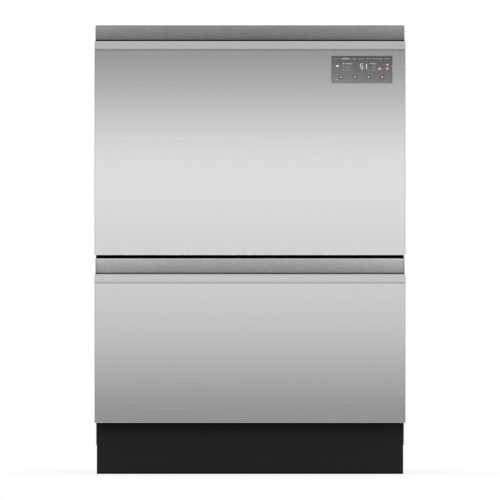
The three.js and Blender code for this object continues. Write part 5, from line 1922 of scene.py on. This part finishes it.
# Half width, corner and height round the seal's section, and the section of the black strip of painted shade
# as (depth, height).
SEAL_SECTION = [
    (273, 22, 0.3), (273.2, 22.2, 0.9), (271.4, 21, 3.1), (271.6, 21.2, 4.6), (270, 20, 5.2), (270, 20, 6.7),
    (264, 18, 6.7), (264, 18, 3.9), (266, 19, 3.1), (270.8, 20.5, 0.3),
]
GAP_SHADE_STRIP = [(64.4, 6), (65.2, 5.2), (66.4, 6.6), (66.4, 26), (65.4, 26), (64.6, 24), (65.6, 12.6)]


class MakeLids(Make):
    """The lids that drop onto the tubs, their seals, the black strips of painted shade at their fronts, and
    the lifts that carry them.
    """

    bl_idname = "dishwasher.lids"
    bl_label = "Lids and lifts"

    def make(self, scene):
        for drawer in DRAWERS:
            lid = f"{drawer}_lid"
            rim = RIMS[drawer]
            piece(f"{lid}_pan", self.lid(), "grey_plastic", lid, [lid], rim, angle=40)
            piece(f"{lid}_ring", self.seal(), "rubber", lid, [f"{lid}_seal"], rim, angle=60)
            # A black strip of painted shade in the gap between the drawers.
            piece(f"{lid}_gasket", self.gasket(), "rubber", lid, rim=rim, finish="gasket")
            for side in SIDES:
                finish_node(f"{drawer}_{side}_lid_lift", "dark_plastic", 0.6)

    def lid(self):
        """A pan with a dome below and six ribbed pockets above, held by four pins."""
        rings = [ring(x, y, bend, TUB_MIDDLE, z) for x, y, bend, z in LID_EDGE]
        lid = Solid().loft(rings, capped=False)
        lid.faces.append(list(range(len(rings[0]))))
        centres = [(x, y) for x in evenly(3, -176, 176) for y in (TUB_MIDDLE - 108, TUB_MIDDLE + 108)]
        pockets = [bead((x - 82, x + 82), (y - 102, y + 102), 10, 5, LID_POCKET) for x, y in centres]
        lid.join(Solid().pressed([(x, y) for x, y, _ in rings[-1]], pockets).laid("up", 0, 0, LID_TOP))
        for x, y in centres:
            for step in (-41, 0, 41):
                lid.box((x + step - 0.8, x + step + 0.8), (y - 99, y + 99), RIB_HEIGHTS)
            for step in (-66, -33, 0, 33, 66):
                lid.box((x - 79.5, x + 79.5), (y + step - 0.8, y + step + 0.8), RIB_HEIGHTS)
        for y in (220, 392):
            lid.join(Solid().lathe(LID_PIN, steps=24).laid("right", 0, y, 24).both_sides())
        return lid

    def seal(self):
        """A hollow-backed ring whose lip bears on the tub's rim."""
        rings = [ring(x, x - 40, bend, TUB_MIDDLE, z) for x, bend, z in SEAL_SECTION]
        return Solid().loft(rings, looped=True)

    def gasket(self):
        """A black strip along the lid's front edge: painted shade that darkens the gap between the drawers.
        """
        return Solid().prism(GAP_SHADE_STRIP, "x", -272, 272)


# ---------------------------------------------------------------- panel in the sidebar


OPERATORS = (
    MakeStudio, MakeFronts, MakeDisplay, MakeCabinet, MakeFeet, MakePlumbing, MakeTubs, MakeWashGear,
    MakeRacks, MakeRails, MakeLids,
)
SETTINGS = {
    "dishwasher_finishes": DishwasherFinishes,
    "dishwasher_front": DishwasherFront,
    "dishwasher_studio": DishwasherStudio,
}


class DishwasherPanel(bpy.types.Panel):
    """Lists the steps that make the dishwasher."""

    bl_idname = "VIEW3D_PT_dishwasher"
    bl_label = "Dishwasher"
    bl_space_type = "VIEW_3D"
    bl_region_type = "UI"
    bl_category = "Dishwasher"

    def draw(self, context):
        for step in OPERATORS:
            self.layout.operator(step.bl_idname)


def register():
    for kind in (*SETTINGS.values(), *OPERATORS, DishwasherPanel):
        bpy.utils.register_class(kind)
    for name, kind in SETTINGS.items():
        setattr(bpy.types.Scene, name, PointerProperty(type=kind))


def unregister():
    for name in SETTINGS:
        delattr(bpy.types.Scene, name)
    for kind in (*SETTINGS.values(), *OPERATORS, DishwasherPanel):
        bpy.utils.unregister_class(kind)


def main():
    register()
    make_finishes(bpy.context.scene.dishwasher_finishes)
    for step in OPERATORS:
        group, name = step.bl_idname.split(".")
        getattr(getattr(bpy.ops, group), name)()


if __name__ == "__main__":
    main()
